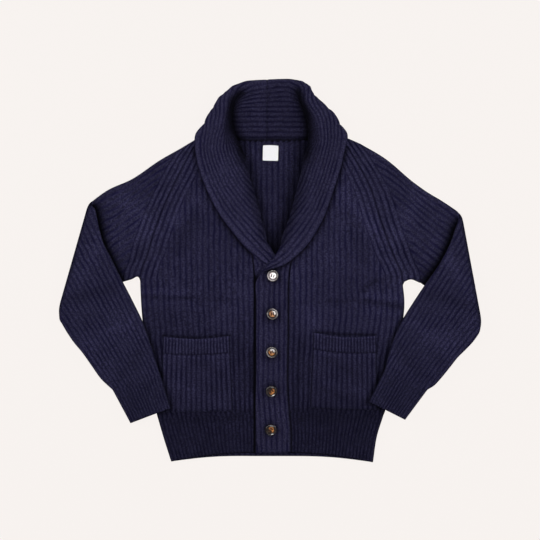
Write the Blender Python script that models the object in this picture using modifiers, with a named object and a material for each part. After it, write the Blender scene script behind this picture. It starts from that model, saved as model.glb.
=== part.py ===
"""A chunky rib-knit shawl collar cardigan, laid flat on its back and buttoned.

Millimetres in the tables, metres in Blender. +Z is up from the surface, +Y points to the collar,
and -X is the wearer's right. Every cloth piece is a wall: an outer face with its ribs raised and a
plain inner face, each lofted through rows of points, closed along the edges.
"""

import functools
import math
from collections import namedtuple

import bmesh
import bpy
import numpy as np

MM = 0.001
GAP = 0.3  # between pieces that touch

# Knit
WALL = 3.0  # panels, sleeves and pockets
COLLAR_WALL = 3.5
BODY_PITCH = 11.5  # one rib and one groove
HEM_PITCH = 7.4
COLLAR_PITCH = 10.4
BORDER_PITCH = 6.5  # pocket top border
CUFF_PITCH = 7.0
RIB = 1.2  # height of the ribs over their grooves
FINE_RIB = 0.9  # hem, cuffs and pocket borders
TURN_RIBS = 0.5  # share of a rib's height left where the collar turns sharply
RAGLAN_RIBS = 3  # ribs that follow the raglan seam

# Layers, bottom to top
FRONT_Z = WALL + 0.6  # underside of the fronts
OVER_BAND_RISE = 3.75  # the buttonhole band lies this much above the button band
POCKET_RISE = RIB + 0.4  # underside of a pocket over the front's base surface
FOREARM_RISE = 8.2  # mid-plane of the folded forearm over that of the upper sleeve
ROUND = 6.0  # how far in from a side fold the wall is rounded
TURNED_WALL = 0.5  # what is left of a front's wall where it turns under at the side
HOLLOW = 0.3  # half the space inside a flattened sleeve
SEAM_ROLL = 2.4  # how far panels stop short of the collar seam where it lifts off them
BAND_SLOPE = 36.0  # over which the left front climbs to the upper band
SIDE_SLOPE = 30.0  # over which a front comes down to its side fold

BUTTON_RADIUS = 11.8
BUTTON_HEIGHT = 4.6
BUTTON_PITCH = 78.7
TOP_BUTTON_Y = -12.0
BUTTON_COUNT = 5
LABEL_SIZE = 32.0
LABEL_WALL = 1.0
LABEL_CENTRE = (0.5, 239.5)

Section = namedtuple("Section", "seam stand_z roll fall edge")
Row = namedtuple("Row", "inner outer")
Ring = namedtuple("Ring", "upper under bow turn lift_upper lift_under")
Fold = namedtuple("Fold", "x y length width height angle")


def flat(seam_x, edge_x, y, z, edge_y=None):
    """A section where the strip lies flat, as a front band does."""
    seam = np.array((seam_x, y, z))
    edge = np.array((edge_x, y if edge_y is None else edge_y, z))
    roll, fall = (seam + (edge - seam) * part for part in (0.6, 0.86))
    return Section(tuple(seam), z, tuple(roll), tuple(fall), tuple(edge))


# The strip of front band and collar, from the hem up round the neck to the centre back: its seam
# to the body, the roll where it turns over, the middle or outermost line of the turned-over fall,
# and its free edge. The wearer's right half is the button band, underneath.
UNDER_Z = 5.25
OVER_Z = UNDER_Z + OVER_BAND_RISE
RIGHT_STRIP = (
    flat(-32, 36, -379, UNDER_Z),
    flat(-32, 36, -62, UNDER_Z),
    flat(-33, 34, -12, UNDER_Z, -4),
    Section((-35, 10, 5.2), 5.4, (24, 14, 6.8), (24, 18, 9.4), (14, 19, 9.8)),
    Section((-37, 28, 5.2), 6.3, (5, 37, 8.4), (-6, 32, 11.6), (-21, 20, 11.2)),
    Section((-41, 63, 5.1), 6.6, (-13, 80, 10.0), (-33, 68, 14.6), (-56, 51, 11.0)),
    Section((-48, 93, 5.1), 6.7, (-21, 110, 10.5), (-48, 95, 15.4), (-77, 77, 10.9)),
    Section((-56, 124, 5.1), 6.8, (-29, 140, 11.0), (-62, 124, 16.0), (-98, 104, 10.8)),
    Section((-73, 181, 5.1), 7.0, (-44, 193, 12.0), (-84, 178, 16.8), (-128, 158, 10.8)),
    Section((-96, 244, 5.4), 8.0, (-61, 252, 14.0), (-106, 250, 18.0), (-154, 243, 11.4)),
    Section((-110, 270, 8.6), 14.5, (-77, 291, 21.0), (-112, 289, 20.0), (-149, 285, 11.4)),
    Section((-106, 273, 8.6), 16.0, (-80, 318, 26.0), (-114, 320, 13.0), (-116, 303, 5.0)),
    Section((-92, 271, 4.6), 12.0, (-70, 342, 23.5), (-101, 352, 8.5), (-92, 310, 2.2)),
    Section((-68, 267, 1.9), 9.0, (-54, 360, 18.5), (-70, 378, 7.6), (-64, 307, 1.8)),
    Section((-38, 265, 1.8), 8.6, (-33, 373, 15.0), (-35, 386, 7.2), (-35, 305, 1.8)),
    Section((-7.2, 265, 1.8), 8.6, (-7.2, 379, 14.0), (-7.2, 390, 7.0), (-7.2, 304, 1.8)),
)
LEFT_STRIP = (
    flat(36.6, -19, -369, OVER_Z),
    flat(36.6, -26, -361, OVER_Z),
    flat(36.6, -28, -348, OVER_Z),
    flat(36.6, -28, -62, OVER_Z),
    flat(37, -28, -26, OVER_Z, -18),
    Section((39, -7, 9.2), 10.4, (-21, -3, 10.8), (-19, -1, 13.6), (-11, -1, 14.4)),
    Section((40, 5, 10.2), 13.2, (-7, 11, 14.2), (3, 8, 17.6), (15, 4, 17.4)),
    Section((43, 22, 9.4), 14.4, (9, 27, 16.2), (24, 22, 19.6), (38, 17, 17.0)),
    Section((50, 56, 6.6), 9.0, (26, 70, 12.4), (48, 61, 17.0), (73, 49, 12.6)),
    Section((68, 110, 5.4), 7.4, (43, 117, 11.6), (72, 107, 16.4), (104, 97, 11.0)),
    Section((85, 172, 5.1), 7.0, (58, 176, 12.0), (92, 171, 16.8), (129, 162, 10.8)),
    Section((104, 240, 5.4), 8.0, (73, 242, 14.0), (110, 241, 18.0), (150, 236, 11.4)),
    Section((117, 268, 8.6), 14.5, (78, 282, 21.0), (116, 285, 20.0), (151, 282, 11.4)),
    Section((112, 272, 8.6), 16.0, (72, 312, 26.0), (113, 323, 13.0), (118, 303, 5.0)),
    Section((98, 270, 4.6), 12.0, (64, 338, 23.5), (96, 348, 8.5), (94, 310, 2.2)),
    Section((72, 267, 1.9), 9.0, (53, 360, 18.5), (68, 378, 7.6), (64, 307, 1.8)),
    Section((36, 265, 1.8), 8.6, (31, 375, 15.0), (34, 389, 7.2), (34, 305, 1.8)),
    Section((-6.8, 265, 1.8), 8.6, (-6.8, 379, 14.0), (-6.8, 390, 7.0), (-6.8, 304, 1.8)),
)
# The sections whose seam is the front's neck edge, the one where the strip starts to roll over,
# and the one from which it turns sharply round the top of the neck.
RIGHT_NECK, RIGHT_BREAK, RIGHT_TURN = slice(2, 11), 3, 9
LEFT_NECK, LEFT_BREAK, LEFT_TURN = slice(4, 13), 5, 11

# Fronts, hem to armpit: the inner edge at the band and the outer edge at the side fold.
RIGHT_HEM = (
    Row((-32, -380), (-204, -392.4)),
    Row((-32, -340), (-219, -346)),
    Row((-32, -296), (-231, -305)),
)
RIGHT_SIDE = (
    Row((-32, -290), (-233, -298)),
    Row((-32, -220), (-247, -224)),
    Row((-32, -140), (-259, -142)),
    Row((-32, -62), (-266, -62)),
)
LEFT_HEM = (
    Row((36.6, -380), (210, -392.4)),
    Row((36.6, -338), (218, -344)),
    Row((36.6, -292), (232, -298)),
)
LEFT_SIDE = (
    Row((36.6, -286), (235, -291)),
    Row((36.6, -220), (252, -222)),
    Row((36.6, -140), (266, -142)),
    Row((36.6, -62), (275, -62)),
)
PIT_ROW = len(RIGHT_HEM) + len(RIGHT_SIDE)  # the first row above the side, at the armpit

# Raglan seams, armpit to neck, one point for each section of the strip along the neck edge.
RIGHT_RAGLAN = (
    (-268, -14), (-262, 10), (-253, 30), (-243, 66), (-233, 95), (-222, 124), (-195, 182), (-160, 248),
    (-134, 281),
)
LEFT_RAGLAN = (
    (274, -28), (270, -8), (264, 6), (256, 22), (243, 56), (223, 112), (204, 172), (167, 238), (138, 280),
)

# Sleeves: rings from the raglan seam to the cuff, each a chord from the sleeve's upper edge to its
# under edge. bow is how much of the raglan seam's curve the ring keeps. turn is in degrees: 0 on
# the upper sleeve, 180 on the forearm, which is folded back over it. The lifts are in millimetres.
RIGHT_UPPER = (
    Ring((-171, 262), (-292, -19), 1.0, 0, 0, 0),
    Ring((-225, 233), (-322, -33), 0.7, 0, 0, 0),
    Ring((-290, 190), (-362, -55), 0.4, 0, 0, 0),
    Ring((-338, 166), (-402, -76), 0.1, 0, 0, 0),
)
RIGHT_ELBOW = ((-374, 141), (-436, -86))
RIGHT_FOREARM = (
    Ring((-346, 86), (-427, -116), 0.0, 180, 0, 0),
    Ring((-326, 26), (-406, -145), 0.0, 180, 0, 0),
    Ring((-305, -20), (-384, -170), 0.0, 180, 0, 0),
    Ring((-284, -63), (-365, -198), 0.0, 180, 0, 0),
    Ring((-262, -110), (-349, -221), 0.0, 180, 0, 0),
    Ring((-240, -168), (-334, -236), 0.0, 180, 2.2, 0),
)
RIGHT_CUFF = (
    Ring((-228, -207), (-324, -245), 0.0, 180, 5.4, 0.3),
    Ring((-225, -213), (-321, -250), 0.0, 180, 5.6, 0.3),
    Ring((-204, -282), (-287, -314), 0.0, 180, 6.0, -1.5),
)
LEFT_UPPER = (
    Ring((172, 266), (293, -22), 1.0, 0, 0, 0),
    Ring((228, 234), (322, -38), 0.7, 0, 0, 0),
    Ring((292, 182), (362, -60), 0.4, 0, 0, 0),
    Ring((350, 146), (400, -80), 0.1, 0, 0, 0),
)
LEFT_ELBOW = ((394, 114), (435.6, -110))
LEFT_FOREARM = (
    Ring((368, 62), (428, -132), 0.0, 180, 0, 0),
    Ring((342, 14), (410, -154), 0.0, 180, 0, 0),
    Ring((316, -31), (390, -174), 0.0, 180, 0, 0),
    Ring((294, -66), (370, -198), 0.0, 180, 0, 0),
    Ring((270, -106), (352, -220), 0.0, 180, 0, 0),
    Ring((246, -158), (335, -237), 0.0, 180, 2.2, 0),
)
LEFT_CUFF = (
    Ring((234, -203), (322, -245), 0.0, 180, 5.4, 0.3),
    Ring((231, -209), (318, -250), 0.0, 180, 5.6, 0.3),
    Ring((201, -269), (276, -307), 0.0, 180, 6.0, -1.5),
)

# The back's ribs that show in the neck, each side of its middle.
BACK_MIDDLE = 4.0
NECK_EDGE_Y = 265.0
BACK_RIBS = 7
SIDE_LIFT = 1.8  # how far the back's underside is lifted at the side folds

# Ribs of the sleeves: half pitches over the upper sleeve, and the key of the last column where the
# forearm's ribs run out at its fold one by one.
UPPER_HALVES = 32
LAST_COLUMN = 60.0

# Pockets: the corners of the patch and how deep the border along its top is.
POCKET_BORDER = 34.0
RIGHT_POCKET = (Row((-84, -135), (-220, -136)), Row((-77, -290), (-227, -293)))
LEFT_POCKET = (Row((88, -128), (216, -135)), Row((81, -284), (221, -288)))
POCKET_SAG = 6.0
POCKET_GAPE = 2.4

# Large soft folds of the fronts.
FRONT_FOLDS = (
    Fold(-215, -56, 60, 16, 2.2, 4),
    Fold(-120, -70, 120, 46, 1.6, 80),
    Fold(228, -64, 62, 14, 2.6, -14),
    Fold(140, -60, 130, 50, 1.6, 100),
    Fold(-150, 60, 90, 22, 1.8, 62),
    Fold(160, 52, 90, 22, 1.8, 118),
)


def hermite(knots, values, where):
    """A smooth curve through the values, read at a place, or at several, between the knots."""
    where = np.asarray(where, dtype=float)
    slopes = np.gradient(values, knots, axis=0)
    i = np.clip(np.searchsorted(knots, where) - 1, 0, len(knots) - 2)
    shape = where.shape + (1,) * (values.ndim - 1)
    span = (knots[i + 1] - knots[i]).reshape(shape)
    t = (where - knots[i]).reshape(shape) / span
    return (
        (2 * t**3 - 3 * t**2 + 1) * values[i]
        + (t**3 - 2 * t**2 + t) * span * slopes[i]
        + (3 * t**2 - 2 * t**3) * values[i + 1]
        + (t**3 - t**2) * span * slopes[i + 1]
    )


def rib_wave(distance, pitch):
    """0 in a groove and 1 on a rib."""
    return 0.5 - 0.5 * math.cos(2 * math.pi * distance / pitch)


def fold_height(x, y):
    """How far the soft folds lift the fronts here."""
    total = 0.0
    for fold in FRONT_FOLDS:
        turn = math.radians(fold.angle)
        along = (x - fold.x) * math.cos(turn) + (y - fold.y) * math.sin(turn)
        across = (y - fold.y) * math.cos(turn) - (x - fold.x) * math.sin(turn)
        total += fold.height * math.exp(-((along / fold.length) ** 2) - (across / fold.width) ** 2)
    return total


# Meshes


def zip_rows(mesh, first, second, key):
    """Faces between two rows of points, walking both by their keys. A point is (keys, vertex)."""
    i = j = 0
    while i < len(first) - 1 or j < len(second) - 1:
        ahead_i = first[i + 1][0][key] if i < len(first) - 1 else math.inf
        ahead_j = second[j + 1][0][key] if j < len(second) - 1 else math.inf
        both = abs(ahead_i - ahead_j) < 1e-6
        step_i = i + 1 if both or ahead_i < ahead_j else i
        step_j = j + 1 if both or ahead_j < ahead_i else j
        corners = [first[i][1], first[step_i][1], second[step_j][1], second[j][1]]
        unique = list(dict.fromkeys(corners))
        if len(unique) > 2:
            mesh.faces.new(unique)
        i, j = step_i, step_j


def add_points(mesh, row):
    """The row's points as vertices: (keys, place) becomes (keys, vertex)."""
    return [(keys, mesh.verts.new(np.array(place) * MM)) for keys, place in row]


def finish(mesh, name, material):
    bmesh.ops.recalc_face_normals(mesh, faces=mesh.faces)
    data = bpy.data.meshes.new(name)
    mesh.to_mesh(data)
    mesh.free()
    data.materials.append(material)
    data.shade_smooth()
    data.set_sharp_from_angle(angle=math.radians(50))
    piece = bpy.data.objects.new(name, data)
    bpy.data.collections[COLLECTION].objects.link(piece)
    return piece


def sheet(name, material, outer, inner, keys):
    """A wall between rows of outer and inner points. keys[i] joins row i to row i + 1."""
    mesh = bmesh.new()
    outer = [add_points(mesh, row) for row in outer]
    inner = [add_points(mesh, row) for row in inner]
    for i, key in enumerate(keys):
        zip_rows(mesh, outer[i], outer[i + 1], key)
        zip_rows(mesh, inner[i], inner[i + 1], key)
        for end in (0, -1):
            corners = (outer[i][end], outer[i + 1][end], inner[i + 1][end], inner[i][end])
            mesh.faces.new([point[1] for point in corners])
    for end in (0, -1):
        zip_rows(mesh, outer[end], inner[end], "along")
    return finish(mesh, name, material)


def tube(name, material, top, bottom, hollow_top, hollow_bottom, keys):
    """A flattened tube, open at both ends. The halves share their first and last points."""
    mesh = bmesh.new()

    def ring(upper_half, lower_half):
        upper = add_points(mesh, upper_half)
        lower = add_points(mesh, lower_half[1:-1])
        return upper, [upper[0], *lower, upper[-1]]

    outside = [ring(*halves) for halves in zip(top, bottom)]
    inside = [ring(*halves) for halves in zip(hollow_top, hollow_bottom)]
    for wall in (outside, inside):
        for half in (0, 1):
            for i, pair in enumerate(keys):
                zip_rows(mesh, wall[i][half], wall[i + 1][half], pair[half])
    for end in (0, -1):
        for half in (0, 1):
            zip_rows(mesh, outside[end][half], inside[end][half], "along")
    return finish(mesh, name, material)


# The strip of band and collar


def controls(section):
    seam, roll, fall = (np.array(point) for point in (section.seam, section.roll, section.fall))
    stand = seam + (roll - seam) * 0.6
    stand[2] = section.stand_z
    crown = roll + (fall - roll) * 0.3
    flatness = abs(section.roll[2] - section.seam[2]) + abs(section.fall[2] - section.roll[2])
    crown[2] += min(2.4, flatness)
    return np.array((section.edge, fall, crown, roll, stand, seam))


class Strip:
    """The middle surface of one half of the collar and its band."""

    def __init__(self, sections, side):
        self.points = np.array([controls(section) for section in sections])
        steps = np.linalg.norm(np.diff(self.points, axis=0), axis=2).mean(axis=1)
        self.stations = np.concatenate(([0.0], np.cumsum(steps)))
        self.side = side

    @functools.lru_cache(maxsize=None)
    def section(self, where):
        """Points from the free edge to the seam, their distances, and the roll's distance."""
        points = hermite(self.stations, self.points, where)
        steps = np.sqrt(np.linalg.norm(np.diff(points, axis=0), axis=1))
        knots = np.concatenate(([0.0], np.cumsum(steps)))
        fine = np.linspace(0, knots[-1], 90)
        curve = hermite(knots, points, fine)
        lengths = np.concatenate(([0.0], np.cumsum(np.linalg.norm(np.diff(curve, axis=0), axis=1))))
        return curve, lengths, float(np.interp(knots[3], fine, lengths))

    def place(self, where, distance):
        curve, lengths, _ = self.section(where)
        return np.array([np.interp(distance, lengths, curve[:, axis]) for axis in range(3)])

    def normal(self, where, distance):
        """Points out of the face that shows on the lapel and inside the neck."""
        low = max(where - 2.0, 0.0)
        high = min(where + 2.0, self.stations[-1])
        along = self.place(high, distance) - self.place(low, distance)
        across = self.place(where, distance + 1.0) - self.place(where, max(distance - 1.0, 0.0))
        if np.linalg.norm(across) < 1e-6:
            across = self.place(where, distance) - self.place(where, distance - 2.0)
        normal = np.cross(across, along) * self.side
        return normal / np.linalg.norm(normal)


def strip_rows(strip, wheres, band_end, band_ribs, turn_start):
    """Rows across the strip's two faces, ribbed where the face shows.

    The first face looks up on the lapels and inside the neck. The other one shows on the band.
    The ribs are lower where the strip turns sharply.
    """
    outer, inner = [], []
    for where in wheres:
        on_band = where < band_end
        _, lengths, roll = strip.section(where)
        width = lengths[-1]
        half = COLLAR_PITCH / 2
        turn = [roll - 2.6, roll, roll + 2.6]
        ribs = [k * half for k in range(int(width / half) + 1)]
        ribs = [s for s in ribs if s < width - 2 and min(abs(s - t) for t in turn) > 1.5]
        across = sorted([*ribs, *turn, width])
        plain = sorted([*ribs[::2], *turn, width])
        rows = [], []
        faces = (plain, across) if on_band and band_ribs else (across, plain)
        for spots, row, face in zip(faces, rows, (1, -1)):
            for s in spots:
                normal = strip.normal(where, min(s, width - 0.5))
                rise = COLLAR_WALL / 2
                shows = np.clip((normal[2] * face + 0.35) / 0.5, 0, 1)
                shows *= band_ribs if on_band else face == 1
                shows *= TURN_RIBS if turn_start < where < strip.stations[-2] else 1
                if 0 < s < width:
                    rise += RIB * rib_wave(s, COLLAR_PITCH) * shows
                place = strip.place(where, s) + normal * rise * face
                place[2] = max(place[2], 0.0)
                row.append(({"along": s, "column": s}, place))
        outer.append(rows[0])
        inner.append(rows[1])
    return outer, inner


def collar_half(name, material, sections, side, band_end, band_ribs, turn):
    """The strip takes rows in between from the section where it turns sharply."""
    strip = Strip(sections, side)
    wheres = []
    for i, station in enumerate(strip.stations):
        wheres.append(station)
        if turn <= i < len(strip.stations) - 1:
            wheres.append((station + strip.stations[i + 1]) / 2)
    stations = strip.stations
    outer, inner = strip_rows(strip, wheres, stations[band_end], band_ribs, stations[turn])
    return sheet(name, material, outer, inner, ["along"] * (len(wheres) - 1))


# Fronts and back


def halved(points):
    """The points with one more on the straight line between each two."""
    points = [np.array(point, dtype=float) for point in points]
    between = [(a + b) / 2 for a, b in zip(points, points[1:])]
    return [point for pair in zip(points, between) for point in pair] + [points[-1]]


def smooth_halved(points):
    """The points with one more on the curve between each two."""
    points = np.array(points, dtype=float)
    knots = np.arange(len(points))
    return [hermite(knots, points, half / 2) for half in range(2 * len(points) - 1)]


def front_rows(side, hem, sides, sections, raglan):
    """Rows of the front: (kind, inner point, outer point), hem to neck."""
    shift = np.array((side * GAP, 0.0))
    rows = [("hem", np.array(row.inner) + shift, np.array(row.outer)) for row in hem]
    rows += [("side", np.array(row.inner) + shift, np.array(row.outer)) for row in sides]
    neck = halved([section.seam[:2] for section in sections])
    for i, (inner, outer) in enumerate(zip(neck, smooth_halved(raglan))):
        kind = "side" if i == 0 else "raglan"
        away = SEAM_ROLL if i > len(neck) - 3 else GAP + 0.2
        rows.append((kind, inner + np.array((side * away, 0.0)), np.array(outer, dtype=float)))
    return rows


def base_z(x, y, outer_x, side, rise):
    """Underside of a front: on the back, over folds, and up to the band's height by its seam."""
    z = FRONT_Z + fold_height(x, y)
    if rise:
        near_band = max(0.0, 1.0 - (x - LEFT_SIDE[0].inner[0]) / BAND_SLOPE)
        z += rise * (3 * near_band**2 - 2 * near_band**3)
    inside = abs(outer_x - x)
    if inside < SIDE_SLOPE:
        z = FRONT_Z + (z - FRONT_Z) * inside / SIDE_SLOPE
    return z


def front_spots(side, kind, near, far, columns, pit):
    """Across a row of the front: (column key, x, 0 in a groove to 1 on a rib).

    Above the armpit the outermost ribs follow the raglan seam and the others end against them.
    """
    width = abs(far[0] - near[0])
    if kind != "raglan":
        count = columns if kind == "side" else 2 * round(width / HEM_PITCH)
        spots = [(k / count, near[0] + side * width * k / count, rib_wave(k, 2)) for k in range(count + 1)]
        spots.insert(-1, (0.995, far[0] - side * 1.6, 0.0))
        return spots
    bands = 2 * RAGLAN_RIBS
    strip = min(bands * BODY_PITCH / 2 * 1.06, width * 0.8)
    step = (pit[1] - pit[0]) / columns
    spots = [(0.0, near[0], 0.0)]
    for k in range(1, columns - bands):
        x = pit[0] + k * step
        if side * (x - near[0]) > 2 and side * (far[0] - x) > strip + 1.5:
            spots.append((k / columns, x, rib_wave(k, 2)))
    for k in range(bands + 1):
        x = far[0] - side * strip * (1 - k / bands)
        spots.append(((columns - bands + k) / columns, x, rib_wave(k, 2)))
    return spots


def front(name, material, side, rows, rise):
    """side is -1 for the wearer's right front. rise lifts its inner edge to the upper band."""
    _, pit_near, pit_far = rows[PIT_ROW]
    pit = (pit_near[0], pit_far[0])
    columns = 2 * round(abs(pit[1] - pit[0]) / BODY_PITCH)
    outer, inner = [], []
    for kind, near, far in rows:
        height = FINE_RIB if kind == "hem" else RIB
        row_outer, row_inner = [], []
        for key, x, rib in front_spots(side, kind, near, far, columns, pit):
            t = (x - near[0]) / (far[0] - near[0])
            y = near[1] + (far[1] - near[1]) * t
            floor = base_z(x, y, far[0], side, rise)
            edge = max(0.0, 1 - abs(far[0] - x) / ROUND) if kind != "raglan" else 0.0
            turned = 1 - math.sqrt(max(0.0, 1 - edge**2))
            top = floor + WALL - (WALL - TURNED_WALL) * turned
            row_outer.append(({"along": t, "column": key}, (x, y, top + height * rib * (1 - edge))))
        for t in (0.0, 0.2, 0.4, 0.6, 0.8, 1.0):
            x = near[0] + (far[0] - near[0]) * t
            y = near[1] + (far[1] - near[1]) * t
            floor = base_z(x, y, far[0], side, rise)
            if t == 1.0 and kind != "raglan":
                floor -= GAP
            row_inner.append(({"along": t, "column": t}, (x, y, floor)))
        outer.append(row_outer)
        inner.append(row_inner)
    keys = ["column"] * (len(rows) - 1)
    keys[len(RIGHT_HEM) - 1] = "along"
    return sheet(name, material, outer, inner, keys)


def neck_opening(y):
    """The stretch of the back that shows between the lapels at this height."""
    return -1 - 0.27 * (y - 29), 9 + 0.30 * (y - 22)


def back(material, right_rows, left_rows, neck_points):
    """The back panel: flat under, ribbed on top where the neck shows it."""
    outer, inner = [], []
    plain = (0, 0.12, 0.25, 0.38, 0.62, 0.75, 0.88, 1)
    below_neck = [pair for pair in zip(right_rows, left_rows) if pair[0][2][1] < NECK_EDGE_Y - 6]
    for (kind, near_r, far_r), (_, near_l, far_l) in below_neck:
        shows = kind == "raglan"
        x_stops = (far_r[0], near_r[0], near_l[0], far_l[0])
        y_stops = (far_r[1], near_r[1], near_l[1], far_l[1])
        if shows:
            y_stops = (far_r[1], far_r[1], far_l[1], far_l[1])
        spots = [(t, far_r[0] + (far_l[0] - far_r[0]) * t, 0.0) for t in plain]
        if shows:
            reach = BACK_RIBS * BODY_PITCH
            spots = [spot for spot in spots if abs(spot[1] - BACK_MIDDLE) > reach + 2]
            left, right = neck_opening(float(np.mean(y_stops)))
            for k in range(-2 * BACK_RIBS, 2 * BACK_RIBS + 1):
                x = BACK_MIDDLE + k * BODY_PITCH / 2
                show = np.clip(min(x - left - 4, right - 4 - x) / 6, 0, 1)
                spots.append((0.5 + k / 1000, x, rib_wave(k, 2) * show))
            spots.sort(key=lambda spot: spot[1])
        row_outer, row_inner = [], []
        for key, x, rib in spots:
            y = float(np.interp(x, x_stops, y_stops))
            row_outer.append(({"along": key, "column": key}, (x, y, WALL + RIB * rib)))
        for t in plain:
            x = far_r[0] + (far_l[0] - far_r[0]) * t
            y = float(np.interp(x, x_stops, y_stops))
            lift = SIDE_LIFT if t in (0, 1) and not shows else 0.0
            row_inner.append(({"along": t, "column": t}, (x, y, lift)))
        outer.append(row_outer)
        inner.append(row_inner)
    first, last = right_rows[-1][2][0], left_rows[-1][2][0]
    for rows, z in ((outer, WALL), (inner, 0.0)):
        keys = [(x - first) / (last - first) for x, _ in neck_points]
        row = [({"along": key, "column": key}, (x, y, z)) for key, (x, y) in zip(keys, neck_points)]
        rows.append(row)
    return sheet("back", material, outer, inner, ["along"] * (len(outer) - 1))


# Sleeves


def sleeve(name, material, side, raglan, upper, elbow, forearm, cuff):
    """side is -1 for the wearer's right sleeve."""
    half = WALL + HOLLOW
    raglan = [np.array(point, dtype=float) for point in raglan][::-1]
    top_end, pit_end = raglan[0], raglan[-1]
    chord = pit_end - top_end
    stops = [float(np.dot(point - top_end, chord) / np.dot(chord, chord)) for point in raglan]
    bows = np.array([point - top_end - chord * t for point, t in zip(raglan, stops)])

    def bow_at(t):
        return np.array([np.interp(t, stops, bows[:, axis]) for axis in (0, 1)])

    outward = np.array((chord[1], -chord[0])) / np.linalg.norm(chord)
    if outward[0] * side < 0:
        outward = -outward
    rings = []
    seam_gap = outward * GAP
    first = Ring(tuple(top_end + seam_gap), tuple(pit_end + seam_gap), 1.0, 0, 0, 0)
    steps = 2 * RAGLAN_RIBS
    rings.append(("band", first, 0.0))
    for k in range(1, steps + 1):
        blend = k / steps
        a = np.array(first.upper) * (1 - blend) + np.array(upper[0].upper) * blend
        b = np.array(first.under) * (1 - blend) + np.array(upper[0].under) * blend
        rings.append(("band", Ring(tuple(a), tuple(b), 1.0, 0, 0, 0), rib_wave(k, 2)))
    rings += [("upper", ring, 1.0) for ring in upper[1:]]
    radius = FOREARM_RISE / 2
    reach = radius + half + RIB
    fold_a, fold_b = (np.array(point, dtype=float) for point in elbow)
    fold_out = np.array((fold_b[1] - fold_a[1], fold_a[0] - fold_b[0]))
    fold_out = fold_out / np.linalg.norm(fold_out)
    if fold_out[0] * side < 0:
        fold_out = -fold_out
    for turn in (0, 45, 90, 135, 180):
        out = radius * math.sin(math.radians(turn)) - reach
        a, b = fold_a + fold_out * out, fold_b + fold_out * out
        rings.append(("elbow", Ring(tuple(a), tuple(b), 0.0, turn, 0, 0), 1.0))
    rings += [("forearm", ring, 1.0) for ring in forearm]
    rings.append(("forearm", cuff[0], 1.0))
    rings += [("cuff", ring, 1.0) for ring in cuff[1:]]

    along_arm = np.array(forearm[-1].upper) - np.array(forearm[1].upper)
    along_arm = along_arm / np.linalg.norm(along_arm)
    tops, bottoms, hollow_tops, hollow_bottoms = [], [], [], []
    for kind, ring, rib in rings:
        a, b = np.array(ring.upper), np.array(ring.under)
        length = float(np.linalg.norm(b - a))
        across = (b - a) / length
        out = np.array((across[1], -across[0]))
        if out[0] * side < 0:
            out = -out
        turn = math.radians(ring.turn)
        up = np.array((*(out * math.sin(turn)), math.cos(turn)))
        middle = half + radius * (1 - math.cos(turn))

        def spot(t, off):
            flat_place = a + (b - a) * t + bow_at(t) * ring.bow
            z = middle + ring.lift_upper * (1 - t) + ring.lift_under * t
            return np.array((*flat_place, z)) + up * off

        def rounded(t):
            inside = min(t, 1 - t) * length
            return math.sqrt(max(0.0, 1 - max(0.0, 1 - inside / 4.0) ** 2))

        coarse = [0.0, 0.02, 0.25, 0.5, 0.75, 0.98, 1.0]
        perp = abs(across[0] * along_arm[1] - across[1] * along_arm[0]) * length
        if kind == "band":
            top = [(0.012, 0.012, 0.0), *[(t, t, rib) for t in stops[1:-1]], (0.988, 0.988, 0.0)]
        elif ring.turn == 0:
            halves = [(k / UPPER_HALVES, rib_wave(k, 2)) for k in range(1, UPPER_HALVES)]
            top = [(0.012, 0.012, 0.0), *[(t, t, rib) for t, rib in halves], (0.988, 0.988, 0.0)]
        else:
            top = [(t, t, 0.0) for t in coarse[1:-1]]
        top = [(0.0, 0.0, 0.0), *top, (1.0, 1.0, 0.0)]
        if ring.turn == 0:
            bottom = [(t, t * LAST_COLUMN / 2, 0.0) for t in (stops if ring is first else coarse)]
        elif kind == "cuff":
            count = 2 * round(perp / CUFF_PITCH)
            bottom = [(k / count, k / count, rib_wave(k, 2)) for k in range(count + 1)]
        else:
            step = BODY_PITCH / 2 / perp
            bottom = [(k * step, k, rib_wave(k, 2)) for k in range(int(0.97 / step) + 1)]
            bottom += [(0.985, LAST_COLUMN - 1, 0.0), (1.0, LAST_COLUMN, 0.0)]
        height = FINE_RIB if kind == "cuff" else RIB
        rise_top = height if ring.turn == 0 else 0.0
        rise_bottom = height * min(1.0, ring.turn / 90)
        tops.append([
            ({"along": t, "column": key}, spot(t, (half + rise_top * wave) * rounded(t)))
            for t, key, wave in top
        ])
        bottoms.append([
            ({"along": t, "column": key}, spot(t, -(half + rise_bottom * wave) * rounded(t)))
            for t, key, wave in bottom
        ])
        inset = WALL / length
        middle_stops = stops[1:-1] if ring is first else [0.25, 0.5, 0.75]
        inner = [inset, inset * 1.3, *middle_stops, 1 - inset * 1.3, 1 - inset]
        offs = [0.0, *[HOLLOW] * (len(inner) - 2), 0.0]
        hollow_tops.append([
            ({"along": t, "column": t}, spot(t, off)) for t, off in zip(inner, offs)
        ])
        hollow_bottoms.append([
            ({"along": t, "column": t}, spot(t, -off)) for t, off in zip(inner, offs)
        ])
    keys = []
    for (kind, _, _), (after, _, _) in zip(rings, rings[1:]):
        keys.append(("along", "along" if after == "cuff" and kind == "forearm" else "column"))
    return tube(name, material, tops, bottoms, hollow_tops, hollow_bottoms, keys)


# Pockets, buttons and label


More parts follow.
